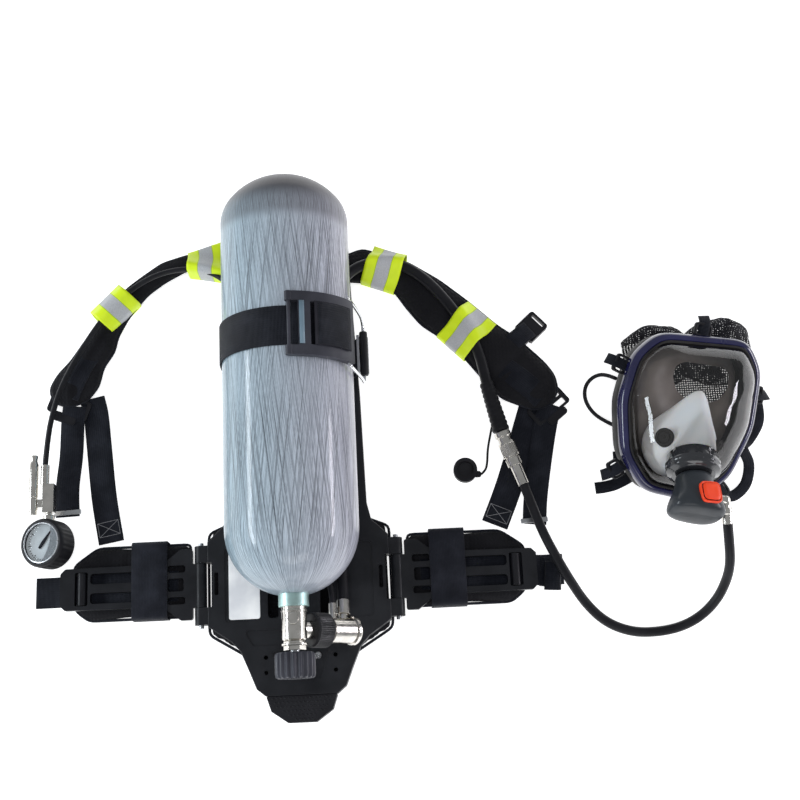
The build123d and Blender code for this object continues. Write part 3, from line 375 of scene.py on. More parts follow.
def shell(name, tint, edge_tint, ior=1.5):
    """Thin clear dome: see-through face on, darker and mirror-like towards its edges."""
    paint = Paint(name, tint, 0.03)
    facing = paint.node("ShaderNodeLayerWeight", {"Blend": 0.35}).outputs["Facing"]
    through = paint.node("ShaderNodeBsdfTransparent", {0: paint.mix(facing, tint, edge_tint)})
    mirror = paint.node("ShaderNodeBsdfGlossy", {"Color": (1, 1, 1, 1), "Roughness": 0.02})
    ripple = {"Height": paint.grain(11, 2.0), "Strength": 0.08, "Distance": 0.002}
    wave = paint.node("ShaderNodeBump", ripple)
    paint.tree.links.new(wave.outputs[0], mirror.inputs["Normal"])
    share = paint.node("ShaderNodeFresnel", {"IOR": ior}).outputs[0]
    both = paint.node("ShaderNodeMixShader", {0: share})
    paint.tree.links.new(through.outputs[0], both.inputs[1])
    paint.tree.links.new(mirror.outputs[0], both.inputs[2])
    output = next(node for node in paint.tree.nodes if node.type == "OUTPUT_MATERIAL")
    paint.tree.links.new(both.outputs[0], output.inputs["Surface"])
    return paint


def net_cloth(name):
    """Black knitted net with small round holes; UV is in metres."""
    paint = Paint(name, (0.02, 0.02, 0.022), 0.75)
    knit = {"Vector": paint.place("UV"), "Scale": 330.0, "Randomness": 0.2}
    cells = paint.node("ShaderNodeTexVoronoi", knit, voronoi_dimensions="2D", feature="F1")
    solid = paint.math("GREATER_THAN", cells.outputs["Distance"], 0.22)
    paint.link(solid, "Alpha")
    paint.vary((0.006, 0.006, 0.008), (0.02, 0.02, 0.024), 80)
    paint.set("Specular IOR Level", 0.2)
    paint.bump(cells.outputs["Distance"], 0.8, 0.0008)
    return paint


def make_paints():
    paints = {
        "wrap": fibre_wrap("fibre_wrap"),
        "plate": plastic("plate_plastic", (0.0065, 0.007, 0.009), 0.4, 700, 0.0002),
        "black": plastic("black_plastic", (0.006, 0.006, 0.008), 0.38),
        "lever": plastic("lever_plastic", (0.03, 0.031, 0.04), 0.34),
        "bar": plastic("lever_bar", (0.1, 0.15, 0.19), 0.35),
        "rubber": plastic("moulded_rubber", (0.007, 0.007, 0.009), 0.5, 500, 0.0003),
        "hose": plastic("hose_rubber", (0.006, 0.006, 0.008), 0.42, 1400, 0.0001),
        "label": plastic("label_white", (0.72, 0.73, 0.76), 0.4),
        "pad": woven("pad_cloth", (0.0045, 0.0045, 0.006)),
        "mesh": woven("pad_mesh", (0.005, 0.005, 0.0065), 0.0024, 0.8, 1.0),
        "webbing": webbing("black_webbing", (0.004, 0.005, 0.009)),
        "elastic": webbing("elastic_band", (0.006, 0.007, 0.012), 0.0011),
        "lime": reflective("reflective_tape"),
        "nickel": metal("nickel_plate", (0.74, 0.71, 0.66), 0.17),
        "wire": metal("bright_wire", (0.82, 0.83, 0.85), 0.12),
        "steel": metal("zinc_steel", (0.6, 0.61, 0.63), 0.28),
        "brass": metal("plain_brass", (0.76, 0.56, 0.28), 0.25),
        "neck": metal("anodised_neck", (0.56, 0.78, 0.75), 0.4),
        "knurl": plastic("knurled_black", (0.016, 0.016, 0.018), 0.3),
        "dial": plastic("dial_white", (0.5, 0.52, 0.54), 0.6),
        "ink": plastic("dial_ink", (0.02, 0.02, 0.025), 0.5),
        "red": plastic("dial_red", (0.62, 0.03, 0.02), 0.45),
        "lens": shell("gauge_lens", (0.98, 0.99, 0.99), (0.8, 0.82, 0.83), 1.06),
        "frame": plastic("frame_blue", (0.009, 0.009, 0.046), 0.2, 300, 0.00003),
        "visor": shell("clear_visor", (0.97, 0.962, 0.95), (0.46, 0.44, 0.43)),
        "seal": plastic("seal_rubber", (0.016, 0.015, 0.015), 0.6, 400, 0.0002),
        "lip": plastic("seal_lip", (0.12, 0.105, 0.095), 0.5, 300, 0.0001),
        "cup": plastic("cup_silicone", (0.88, 0.94, 1.0), 0.35, 200, 0.0001),
        "smoke": plastic("smoky_ring", (0.02, 0.021, 0.024), 0.16, 300, 0.00004),
        "valve": plastic("valve_plastic", (0.022, 0.026, 0.031), 0.36, 1000, 0.00008),
        "button": plastic("button_orange", (0.86, 0.05, 0.008), 0.38, 900, 0.00008),
        "net": net_cloth("net_cloth"),
        "cord": woven("braided_cord", (0.01, 0.01, 0.012), 0.0014),
        "thread": plastic("grey_thread", (0.16, 0.16, 0.17), 0.7),
    }
    paints["frame"].set("Coat Weight", 0.9)
    paints["frame"].set("Coat Roughness", 0.05)
    paints["cup"].set("Subsurface Weight", 0.25)
    paints["cup"].set("Subsurface Radius", (0.01, 0.012, 0.016))
    paints["smoke"].set("Coat Weight", 0.8)
    for printed in ("dial", "ink", "red"):
        paints[printed].set("Specular IOR Level", 0.0)
    paints["valve"].set("Coat Weight", 0.15)
    return {name: paint.material for name, paint in paints.items()}


# ---------------------------------------------------------------- mesh helpers
def add_piece(name, points, faces, paint, body, node=(), place=IDENTITY, uvs=None):
    """A mesh from points in millimetres, in its own frame, riding on a body."""
    mesh = bpy.data.meshes.new(name)
    mesh.from_pydata([(place @ Vector(point)) * MM for point in points], [], faces)
    if uvs:
        layer = mesh.uv_layers.new(name="UVMap")
        for loop in mesh.loops:
            layer.data[loop.index].uv = uvs[loop.vertex_index]
    mesh.materials.append(PAINTS[paint])
    shade_smooth(mesh)
    piece = bpy.data.objects.new(name, mesh)
    bpy.context.scene.collection.objects.link(piece)
    tidy = bmesh.new()
    tidy.from_mesh(mesh)
    bmesh.ops.recalc_face_normals(tidy, faces=tidy.faces)
    tidy.to_mesh(mesh)
    tidy.free()
    register(piece, body, node)
    return piece


def register(piece, body, node):
    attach(piece, body)
    names = [node] if isinstance(node, str) else list(node)
    if names:
        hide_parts(*names)


def shade_smooth(mesh):
    mesh.polygons.foreach_set("use_smooth", [True] * len(mesh.polygons))


def weld(piece, distance=0.01):
    merge = piece.modifiers.new("weld", "WELD")
    merge.merge_threshold = distance * MM


def subdivide(piece):
    smooth = piece.modifiers.new("smooth", "SUBSURF")
    smooth.levels = smooth.render_levels = 1


def soften_edges(piece, width):
    bevel = piece.modifiers.new("edges", "BEVEL")
    bevel.width = width * MM
    bevel.segments = 2
    bevel.limit_method = "ANGLE"
    bevel.angle_limit = math.radians(32)
    bevel.harden_normals = True


def finish_node(name, paint, edge):
    """Paint and softened edges for a CAD node that stays in view."""
    node = NODES[name]
    node.data.materials.clear()
    node.data.materials.append(PAINTS[paint])
    custom = node.data.attributes.get("custom_normal")
    if custom:
        node.data.attributes.remove(custom)
    shade_smooth(node.data)
    weld(node)
    flat = node.modifiers.new("flat", "DECIMATE")
    flat.decimate_type = "DISSOLVE"
    flat.angle_limit = math.radians(0.5)
    soften_edges(node, edge)


def rounded(outline, radius, steps=6):
    """Closed outline with its corners rounded."""
    corners = [Vector(point) for point in outline]
    smooth = []
    for index, corner in enumerate(corners):
        before, after = corners[index - 1], corners[(index + 1) % len(corners)]
        into, out = (before - corner).normalized(), (after - corner).normalized()
        half = into.angle(out) / 2
        reach = radius / math.tan(half)
        centre = corner + (into + out).normalized() * radius / math.sin(half)
        start = corner + into * reach - centre
        sweep = math.pi - 2 * half
        turn = 1 if into.cross(out) < 0 else -1
        for step in range(steps + 1):
            angle = turn * sweep * step / steps
            smooth.append(centre + Matrix.Rotation(angle, 2) @ start)
    return smooth


def even_loop(points, spacing, passes):
    """Closed outline resampled evenly, then relaxed so that its corners turn into curves."""
    corners = [Vector(point) for point in points]
    loop = resampled([*corners, corners[0]], spacing)[:-1]
    for _ in range(passes):
        loop = [(loop[index - 1] + point * 2 + loop[(index + 1) % len(loop)]) / 4
                for index, point in enumerate(loop)]
    return loop


def inset(loop, distance):
    """Closed outline moved inwards along its own normals."""
    area = sum(a.x * b.y - b.x * a.y for a, b in zip(loop, loop[1:] + loop[:1]))
    sign = 1 if area > 0 else -1
    moved = []
    for index, point in enumerate(loop):
        ahead = (loop[(index + 1) % len(loop)] - loop[index - 1]).normalized()
        moved.append(point + Vector((-ahead.y, ahead.x)) * sign * distance)
    return moved


def mirrored(points):
    return [*points, *[(-x, y) for x, y in reversed(points)]]


def resampled(path, spacing):
    """Points evenly spaced along a path."""
    lengths = [0]
    for first, second in zip(path, path[1:]):
        lengths.append(lengths[-1] + (second - first).length)
    count = max(2, round(lengths[-1] / spacing))
    result, segment = [], 0
    for step in range(count + 1):
        target = lengths[-1] * step / count
        while segment < len(path) - 2 and lengths[segment + 1] < target:
            segment += 1
        run = lengths[segment + 1] - lengths[segment]
        share = (target - lengths[segment]) / run if run else 0
        result.append(path[segment].lerp(path[segment + 1], share))
    return result


def smooth_path(points, spacing=4.0):
    """Catmull-Rom curve through points, evenly resampled."""
    knots = [Vector(point) for point in points]
    knots = [knots[0] * 2 - knots[1], *knots, knots[-1] * 2 - knots[-2]]
    curve = []
    for p0, p1, p2, p3 in zip(knots, knots[1:], knots[2:], knots[3:]):
        for step in range(12):
            t = step / 12
            curve.append(0.5 * (2 * p1 + (p2 - p0) * t + (2 * p0 - 5 * p1 + 4 * p2 - p3) * t**2
                                + (3 * p1 - p0 - 3 * p2 + p3) * t**3))
    curve.append(knots[-2])
    return resampled(curve, spacing)


def band_faces(rings, count, closed=False):
    """Quads between neighbouring rings of count points each."""
    faces = []
    for ring in range(rings if closed else rings - 1):
        here, there = ring * count, (ring + 1) % rings * count
        for step in range(count):
            after = (step + 1) % count
            faces.append((here + step, here + after, there + after, there + step))
    return faces


def sheet_faces(rows, width):
    """Quads of a sheet made of rows of width points each."""
    return [(a, a + 1, a + width + 1, a + width)
            for row in range(rows - 1) for a in range(row * width, row * width + width - 1)]


def cross_directions(ahead, side):
    """Directions across and up of a strap that runs ahead; side is the wish for across."""
    across = Vector(side) if side else ahead.cross(Vector((0, 0, 1)))
    across = (across - ahead * across.dot(ahead)).normalized()
    return across, across.cross(ahead)


def sweep(path, section, side=None, closed=False):
    """Points, faces and UVs of a section carried along a path; the section is (across, up)."""
    count, ring = len(path), len(section)
    points, uvs, run = [], [], 0.0
    around = [0.0]
    for first, second in zip(section, section[1:]):
        around.append(around[-1] + (Vector(second) - Vector(first)).length)
    for index, point in enumerate(path):
        if closed:
            ahead = path[(index + 1) % count] - path[index - 1]
        else:
            ahead = path[min(index + 1, count - 1)] - path[max(index - 1, 0)]
        across, up = cross_directions(ahead.normalized(), side)
        if index:
            run += (point - path[index - 1]).length
        for place, (out, rise) in enumerate(section):
            points.append(point + across * out + up * rise)
            uvs.append((around[place] * MM, run * MM))
    faces = band_faces(count, ring, closed)
    if not closed:
        faces.append(tuple(range(ring)))
        faces.append(tuple((count - 1) * ring + place for place in reversed(range(ring))))
    return points, faces, uvs


def strap_section(width, thickness):
    half, thin, soft = width / 2, thickness / 2, thickness * 0.35
    return [(-half, -thin + soft), (-half + soft, -thin), (-half / 3, -thin), (half / 3, -thin),
            (half - soft, -thin), (half, -thin + soft), (half, thin - soft), (half - soft, thin),
            (half / 3, thin), (-half / 3, thin), (-half + soft, thin), (-half, thin - soft)]


def strap(name, route, width, body, node=(), thickness=2.0, side=None, stitches=()):
    """Flat webbing along a route, with sewn boxes at shares of its length."""
    path = smooth_path(route, 3.0)
    points, faces, uvs = sweep(path, strap_section(width, thickness), side)
    add_piece(name, points, faces, "webbing", body, node, uvs=uvs)
    for number, share in enumerate(stitches):
        index = min(int(share * (len(path) - 1)), len(path) - 8)
        sew_box(f"{name}_stitch_{number}", path[index:index + 7], width, thickness, body)


def sew_box(name, path, width, thickness, body):
    """Cross-stitched box, standing a little proud of the webbing."""
    lift = thickness / 2 + 0.25
    inner = width / 2 - 3
    first, last = path[0], path[-1]
    across, up = cross_directions((last - first).normalized(), None)
    lines = [[(point, out) for point in path] for out in (-inner, inner)]
    lines += [[(first, -inner), (first, inner)], [(last, -inner), (last, inner)]]
    lines += [[(first, -inner), (last, inner)], [(first, inner), (last, -inner)]]
    placed = [[point + across * out + up * lift for point, out in line] for line in lines]
    add_curve(name, round_curve(name, placed, 0.35, "thread"), body)


def round_curve(name, lines, radius, paint, kind="POLY"):
    """Curve data of a round cord along lines of points in millimetres."""
    data = bpy.data.curves.new(name, "CURVE")
    data.dimensions = "3D"
    data.bevel_depth = radius * MM
    data.materials.append(PAINTS[paint])
    for line in lines:
        spline = data.splines.new(kind)
        spline.points.add(len(line) - 1)
        for knot, point in zip(spline.points, line):
            knot.co = (*(Vector(point) * MM), 1)
    return data


def add_curve(name, data, body, node=()):
    """Piece from finished curve data, riding on a body."""
    piece = bpy.data.objects.new(name, data)
    bpy.context.scene.collection.objects.link(piece)
    register(piece, body, node)
    return piece


def lathe(name, profile, place, paint, body, node=(), segments=96, flutes=0, depth=0.0, span=None,
          edge=0.4):
    """Turned piece, a ring if its profile closes; flutes cut waves round the heights in span."""
    rings = []
    for radius, height in profile:
        fluted = flutes and span[0] <= height <= span[1]
        ring = []
        for step in range(segments):
            angle = 2 * math.pi * step / segments
            wave = depth * (0.5 + 0.5 * math.cos(flutes * angle)) if fluted else 0.0
            ring.append(((radius - wave) * math.cos(angle), (radius - wave) * math.sin(angle), height))
        rings.append(ring)
    closed = profile[0] == profile[-1]
    caps = [end[0] > 0.001 and not closed for end in (profile[0], profile[-1])]
    piece = loft(name, rings, paint, body, node, place, caps)
    weld(piece, 0.02)
    if edge:
        soften_edges(piece, edge)


def loft(name, rings, paint, body, node=(), place=IDENTITY, caps=(True, True), uvs=None):
    """Skin over rings of equal numbers of points."""
    count = len(rings[0])
    points = [point for ring in rings for point in ring]
    faces = band_faces(len(rings), count)
    if caps[0]:
        faces.append(tuple(reversed(range(count))))
    if caps[1]:
        faces.append(tuple((len(rings) - 1) * count + step for step in range(count)))
    return add_piece(name, points, faces, paint, body, node, place, uvs)


def oval(half_x, half_y, power, count=64):
    """Superellipse outline."""
    outline = []
    for step in range(count):
        angle = 2 * math.pi * step / count
        c, s = math.cos(angle), math.sin(angle)
        outline.append((half_x * math.copysign(abs(c) ** (2 / power), c),
                        half_y * math.copysign(abs(s) ** (2 / power), s)))
    return outline


def piping(name, path, radius, paint, body, closed=True, node=()):
    """Thin sewn cord round the edge of a pad, or a bent wire."""
    data = round_curve(name, [path], radius, paint)
    data.bevel_resolution = 3
    data.splines[0].use_cyclic_u = closed
    add_curve(name, data, body, node)


# ---------------------------------------------------------------- hoses and cords
def hose(name, route, diameter, body, paint):
    """Free hose or cord on one NURBS curve through the CAD route's control points."""
    data = round_curve(name, [route], diameter / 2, paint, "NURBS")
    data.resolution_u = 16
    data.bevel_resolution = 8
    data.use_fill_caps = True
    spline = data.splines[0]
    spline.order_u = 3
    spline.use_endpoint_u = True
    piece = add_curve(f"{name}_line", data, body, name)


def make_hoses():
    hose("gauge_hose", GAUGE_HOSE, 7, "root", "hose")
    hose("supply_hose_upper", SUPPLY_UPPER, 14, "root", "hose")
    hose("supply_hose", SUPPLY_HOSE, 12, "mask", "hose")
    hose("dust_cap_cord", DUST_CORD, 3, "root", "hose")
    hose("neck_cord", NECK_CORD, 5, "mask", "cord")


# ---------------------------------------------------------------- cylinder, strap and valve
def make_cylinder():
    crown, crown_y = 87.5, 199.5
    knuckle, knuckle_x, knuckle_y = 45, 34, 225
    foot_y, neck_radius, neck_y = -156, 18.0, -232.4
    bend = math.atan2(knuckle_y - crown_y, knuckle_x)
    profile = [(0.0, crown_y + crown)]
    for step in range(1, 15):
        angle = math.pi / 2 - (math.pi / 2 - bend) * step / 14
        profile.append((crown * math.cos(angle), crown_y + crown * math.sin(angle)))
    for step in range(1, 11):
        angle = bend * (1 - step / 10)
        profile.append((knuckle_x + knuckle * math.cos(angle), knuckle_y + knuckle * math.sin(angle)))
    for step in range(1, 26):
        profile.append((CYLINDER_RADIUS, knuckle_y - (knuckle_y - foot_y) * step / 25))
    last = math.acos((neck_radius + 1.5) / CYLINDER_RADIUS)
    for step in range(1, 25):
        angle = last * step / 24
        profile.append((CYLINDER_RADIUS * math.cos(angle), foot_y - CYLINDER_RADIUS * math.sin(angle)))
    profile.append((neck_radius, neck_y))
    lathe("cylinder_shell", list(reversed(profile)), CYLINDER, "wrap", "root",
          ("cylinder_wrap", "cylinder_liner"), 160, edge=0)
    collar = [(17.2, -247), (17.6, -246.6), (17.6, -231)]
    lathe("cylinder_neck", collar, CYLINDER, "neck", "root")
    finish_node("cylinder_cradle", "rubber", 1.0)


def round_cylinder(radius, angle):
    """Point under the strap's middle line, its angle in degrees from the top of the cylinder."""
    turn = math.radians(angle)
    return (radius * math.sin(turn), STRAP_Y, AXIS_Z + radius * math.cos(turn))


def make_cylinder_strap():
    ring = [round_cylinder(80.7, angle) for angle in range(6, -98, -8)]
    path = [*ring, (-80.6, STRAP_Y, 100), (-76, STRAP_Y, 62), (-70.8, STRAP_Y, 34), (-66, STRAP_Y, 22.6),
            (0, STRAP_Y, 22.4), (66, STRAP_Y, 22.6), (70.8, STRAP_Y, 34), (79, STRAP_Y, 50),
            (84.2, STRAP_Y, 61)]
    strap("cylinder_webbing", path, STRAP_WIDTH, "root", "cylinder_strap", 2.2, (0, 1, 0))
    under = [round_cylinder(80.4, angle) for angle in range(8, 60, 8)]
    strap("cylinder_webbing_under", under, STRAP_WIDTH + 9, "root", (), 1.6, (0, 1, 0))
    finish_node("strap_lever", "lever", 0.9)
    for name, radius, low, high, width, paint, slot in (
            ("lever_bar", 94.0, 13.4, 17.0, 52, "bar", None),
            # near-black sheet just under the webbing patch and a little larger: a painted shadow round the
            # patch in the lever's window
            ("lever_window_shade", 94.0, 24.6, 57, 53, "ink", "lever_plastic"),
            ("lever_webbing", 94.8, 27, 56, 51, "webbing", None)):
        count = max(2, round((high - low) / 3))
        angles = [low + (high - low) * step / count for step in range(count + 1)]
        arc = [Vector(round_cylinder(radius, angle)) for angle in angles]
        points, faces, uvs = sweep(arc, strap_section(width, 1.2), (0, 1, 0))
        add_piece(name, points, faces, paint, "lever", uvs=uvs)
    finish_node("strap_anchor", "steel", 0.5)
    pivot_x, _, pivot_z = round_cylinder(87.5, 60)
    near, far = STRAP_Y - 42, STRAP_Y + 42
    wire = smooth_path([(pivot_x, near + 20, pivot_z), (pivot_x, near + 3, pivot_z), (79, near, 155),
                        (89, near + 1, 104), (91.6, near + 3, 78), (92, near + 9, 72), (92, STRAP_Y, 72),
                        (92, far - 9, 72), (91.6, far - 3, 78), (89, far - 1, 104), (79, far, 155),
                        (pivot_x, far - 3, pivot_z), (pivot_x, far - 20, pivot_z)], 2.0)
    piping("bail_wire", wire, 2.0, "wire", "bail", False, "strap_bail")
    sleeve = turned_frame((92, STRAP_Y, 72), (1, 0, 0), (0, 1, 0))
    lathe("bail_sleeve", [(4.7, -28.4), (5.1, -27), (5.1, 27), (4.7, 28.4)], sleeve, "rubber", "bail",
          (), 48)


def make_valve():
    finish_node("valve_body", "nickel", 0.5)
    finish_node("valve_fittings", "nickel", 0.5)
    finish_node("valve_spindle", "steel", 0.4)
    wheel = [(8.5, 301), (21.0, 299), (22.8, 300.4), (23.4, 303), (23.4, 323), (22.4, 326.6), (20.0, 328),
             (17.4, 328), (16.4, 327), (15.8, 321), (9.6, 320.4), (9.0, 327), (8.2, 328), (5.4, 328),
             (4.8, 327)]
    lathe("valve_wheel_grip", wheel, VALVE, "lever", "valve_wheel", "valve_handwheel", 216, 18, 2.4,
          (300, 327), 0.3)
    for height in (252, 290):
        ring = [(14.4, height - 1.6), (15.2, height - 1), (15.2, height + 1), (14.4, height + 1.6)]
        lathe(f"valve_ring_{height}", ring, VALVE, "nickel", "root", (), 72, edge=0.2)
    knurl = [(11.6, 22), (18.4, 22), (20.2, 24), (20.4, 26), (20.4, 42), (20.2, 44), (18.4, 46), (8.6, 46),
             (8.6, 41.4), (11.6, 41)]
    lathe("coupling_knurl", knurl, OUTLET, "knurl", "coupling_nut", "coupling_ring", 270, 54, 0.9,
          (25, 43), 0.2)
    lathe("coupling_face", [(8.7, 46), (8.7, 46.8), (17.2, 46.8), (17.8, 46.1)], OUTLET, "nickel",
          "coupling_nut", (), 96, edge=0.2)
    for name in ("reducer_body", "reducer_cap", "hose_fittings"):
        finish_node(name, "nickel", 0.5)
    finish_node("reducer_piston", "brass", 0.2)
    finish_node("reducer_spring", "steel", 0)


# ---------------------------------------------------------------- plate
def make_plate():
    finish_node("backplate", "plate", 0.5)
    finish_node("plate_fasteners", "steel", 0.3)
    finish_node("info_plate", "label", 0.3)
    finish_node("base_bumper", "rubber", 0.8)
    stud = [(1.5, 0), (1.3, 0.5), (0.8, 0.9), (0.0, 1.0)]
    pitch, bumper_top = 5, 28.9
    for y in range(-371, -344, pitch):
        half = 36 - max(0, (-352 - y) * 1.15)
        count = int(half // pitch)
        for column in range(-count, count + 1):
            place = Matrix.Translation(((column + (0.5 if y % 2 else 0)) * pitch, y, bumper_top))
            lathe(f"bumper_stud_{-y}_{column + 20}", stud, place, "rubber", "root", (), 10, edge=0)


# ---------------------------------------------------------------- padded pieces
def apply_modifiers(piece):
    """Bake the piece's modifiers into its mesh."""
    depsgraph = bpy.context.evaluated_depsgraph_get()
    mesh = bpy.data.meshes.new_from_object(piece.evaluated_get(depsgraph))
    piece.modifiers.clear()
    piece.data = mesh


def puff(piece, floor, pressure=3.5, cap=3.0, sideways=0.25):
    """Remesh a closed form and inflate it with the cloth solver, like a stuffed pad.

    The solver's moves are damped sideways and capped, so that the pad stays inside its piping.
    """
    remesh = piece.modifiers.new("remesh", "REMESH")
    remesh.mode = "VOXEL"
    remesh.voxel_size = 5 * MM
    apply_modifiers(piece)
    rest = [vertex.co.copy() for vertex in piece.data.vertices]
    scene = bpy.context.scene
    cloth = piece.modifiers.new("cloth", "CLOTH")
    cloth.settings.quality = 4
    cloth.settings.mass = 0.25
    cloth.settings.tension_stiffness = 12
    cloth.settings.compression_stiffness = 8
    cloth.settings.bending_stiffness = 0.4
    cloth.settings.use_pressure = True
    cloth.settings.uniform_pressure_force = pressure
    cloth.settings.effector_weights.gravity = 0
    for step in range(1, 19):
        scene.frame_set(step)
    apply_modifiers(piece)
    scene.frame_set(1)
    for vertex, start in zip(piece.data.vertices, rest):
        move = vertex.co - start
        move.x *= sideways
        move.y *= sideways
        if move.length > cap * MM:
            move = move.normalized() * cap * MM
        vertex.co = start + move
        vertex.co.z = max(vertex.co.z, floor * MM)
    shade_smooth(piece.data)


def press_channels(piece, lines, width=3.4, depth=0.34):
    """Sewn channels: the surface is drawn towards the pad's mid-height along each line in plan."""
    heights = [vertex.co.z for vertex in piece.data.vertices]
    middle = (min(heights) + max(heights)) / 2
    for vertex in piece.data.vertices:
        here = Vector((vertex.co.x, vertex.co.y)) / MM
        pull = 0.0
        for start, end in lines:
            a, b = Vector(start[:2]), Vector(end[:2])
            share = max(0, min(1, (here - a).dot(b - a) / (b - a).length_squared))
            gap = (here - a.lerp(b, share)).length
            pull = max(pull, math.exp(-(gap / width) ** 2))
        vertex.co.z = middle + (vertex.co.z - middle) * (1 - depth * pull)


def slab_pad(name, outline, bottom, top, paint, body, node, lines, seam=0):
    """Stuffed pad from its outline in plan, with sewn channels, a seam inside its edge and piping."""
    loop = even_loop(outline, 5.0, 2)
    middle, half = (bottom + top) / 2, (top - bottom) / 2
    rings = []
    for move, level in ((6.0, -1.0), (2.4, -0.82), (0.8, -0.5), (0.3, 0.0), (0.8, 0.5), (2.4, 0.82),
                        (6.0, 1.0)):
        rings.append([(point.x, point.y, middle + level * half) for point in inset(loop, move)])
    piece = loft(name, rings, paint, body, node)
    puff(piece, bottom - 0.6)
    channels = list(lines)
    if seam:
        track = inset(loop, seam)
        channels += list(zip(track[::2], track[2::2]))
    press_channels(piece, channels)
    subdivide(piece)
    piece.data.materials.clear()
    piece.data.materials.append(PAINTS[paint])
    edge = [(point.x, point.y, middle) for point in inset(loop, 1.6)]
    piping(f"{name}_piping", edge, 1.8, "elastic", body)


def reflective_sleeve(name, centre, heading, length, widths, over, node=()):
    """Tape sewn round a pad and over the hose on it; UV y runs from 0 to 1 along the pad.

    over is the hose's offset across the pad at both ends, and the height of its top.
    """
    ahead = Vector(heading).normalized()
    across = Vector((-ahead.y, ahead.x))
    start, end, crest = over
    rings, uvs = [], []
    stations = 16
    for station in range(stations + 1):
        share = station / stations
        half = (widths[0] + (widths[1] - widths[0]) * share) / 2
        spine = Vector(centre) + ahead * length * (share - 0.5)
        ring = []
        for out, rise in oval(half, 9.0, 3.4, 56):
            offset = start + (end - start) * share
            bump = math.exp(-((out - offset) / 16) ** 2) * (crest - 18) if rise > 0 else 0.0
            flat = spine + across * out + ahead * 2.2 * math.cos(out / half * 1.4)
            crease = noise.noise(Vector((out, rise, station * 0.6)) * 0.09) * 0.8
            ring.append((flat.x, flat.y, max(0.5, 9.4 + rise + bump * min(1, rise / 5) + crease)))
            uvs.append((out * MM, share))
        rings.append(ring)
    piece = loft(name, rings, "lime", "root", node, caps=(False, False), uvs=uvs)
    thick = piece.modifiers.new("thick", "SOLIDIFY")
    thick.thickness = 0.7 * MM
    thick.offset = 1.0


def make_shoulders():
    slab_pad("right_shoulder_pad", RIGHT_PAD, 1.4, 17, "mesh", "root", "shoulder_pads",
             [((196, 100), (240, 150)), ((250, 36), (312, 90))], seam=8)
    slab_pad("left_shoulder_pad", LEFT_PAD, 1.4, 17, "mesh", "root", (),
             [((-214, 150), (-236, 174)), ((-246, 84), (-300, 90))], seam=7)
    reflective_sleeve("band_left_top", (-113, 221), (1, 0.06), 46, (32, 56), (-10, -25, 42),
                      "reflective_bands")
    reflective_sleeve("band_left_low", (-231, 163), (-0.7, -0.72), 52, (38, 40), (1, 1, 38))
    reflective_sleeve("band_right_top", (122, 201), (0.92, -0.38), 46, (54, 52), (-6, 8, 51))
    reflective_sleeve("band_right_low", (226, 112), (0.71, -0.7), 48, (62, 64), (7, -9, 44))
    pad_ends = (
        ("chest_tab", 24, 1.6, [(276, 84, 15), (288, 94, 17.5), (300, 103, 17), (309, 110, 13)]),
        ("right_pad_webbing", 30, 1.8, [(262, 66, 14), (280, 50, 19), (300, 32, 20), (318, 14, 16)]),
        ("left_pad_webbing", 26, 1.8, [(-254, 112, 14), (-268, 90, 19), (-280, 66, 20), (-290, 44, 15)]),
    )
    for name, width, thickness, route in pad_ends:
        strap(name, route, width, "root", (), thickness)
    right_belt = [(308, 14, 5), (300, -8, 3.2), (288, -42, 2.0), (268, -96, 1.6), (247, -144, 2.4)]
    right_free = [(330, 8, 9), (322, -12, 8), (311, -60, 4.6), (301, -112, 4.2), (297, -146, 4.6)]
    left_belt = [(-262, 44, 7), (-257, 20, 4), (-253, -20, 2.2), (-246, -86, 1.6), (-236, -144, 2.4)]
    left_free = [(-284, 34, 9), (-286, 14, 8), (-288, -30, 4.6), (-292, -72, 4.2), (-291, -109, 4.6)]
    strap("right_belt_webbing", right_belt, 34, "root", "shoulder_webbing", stitches=(0.86,))
    strap("right_free_webbing", right_free, 30, "root")
    strap("left_belt_webbing", left_belt, 32, "root", stitches=(0.86,))
    strap("left_free_webbing", left_free, 30, "root")
    for name, at, turn in (("right", (297, -141, 4.6), 2), ("left", (-291, -104, 4.6), 3)):
        place = Matrix.Translation(at) @ Matrix.Rotation(math.radians(turn), 4, "Z")
        clip = [(-17, -3, -1.6), (17, -3, -1.6), (17, 3, -1.6), (-17, 3, -1.6)]
        high = [(x, y, 3.2) for x, y, _ in clip]
        piece = loft(f"{name}_strap_clip", [clip, high], "steel", "root", (), place)
        soften_edges(piece, 0.6)
    finish_node("strap_buckles", "black", 0.8)


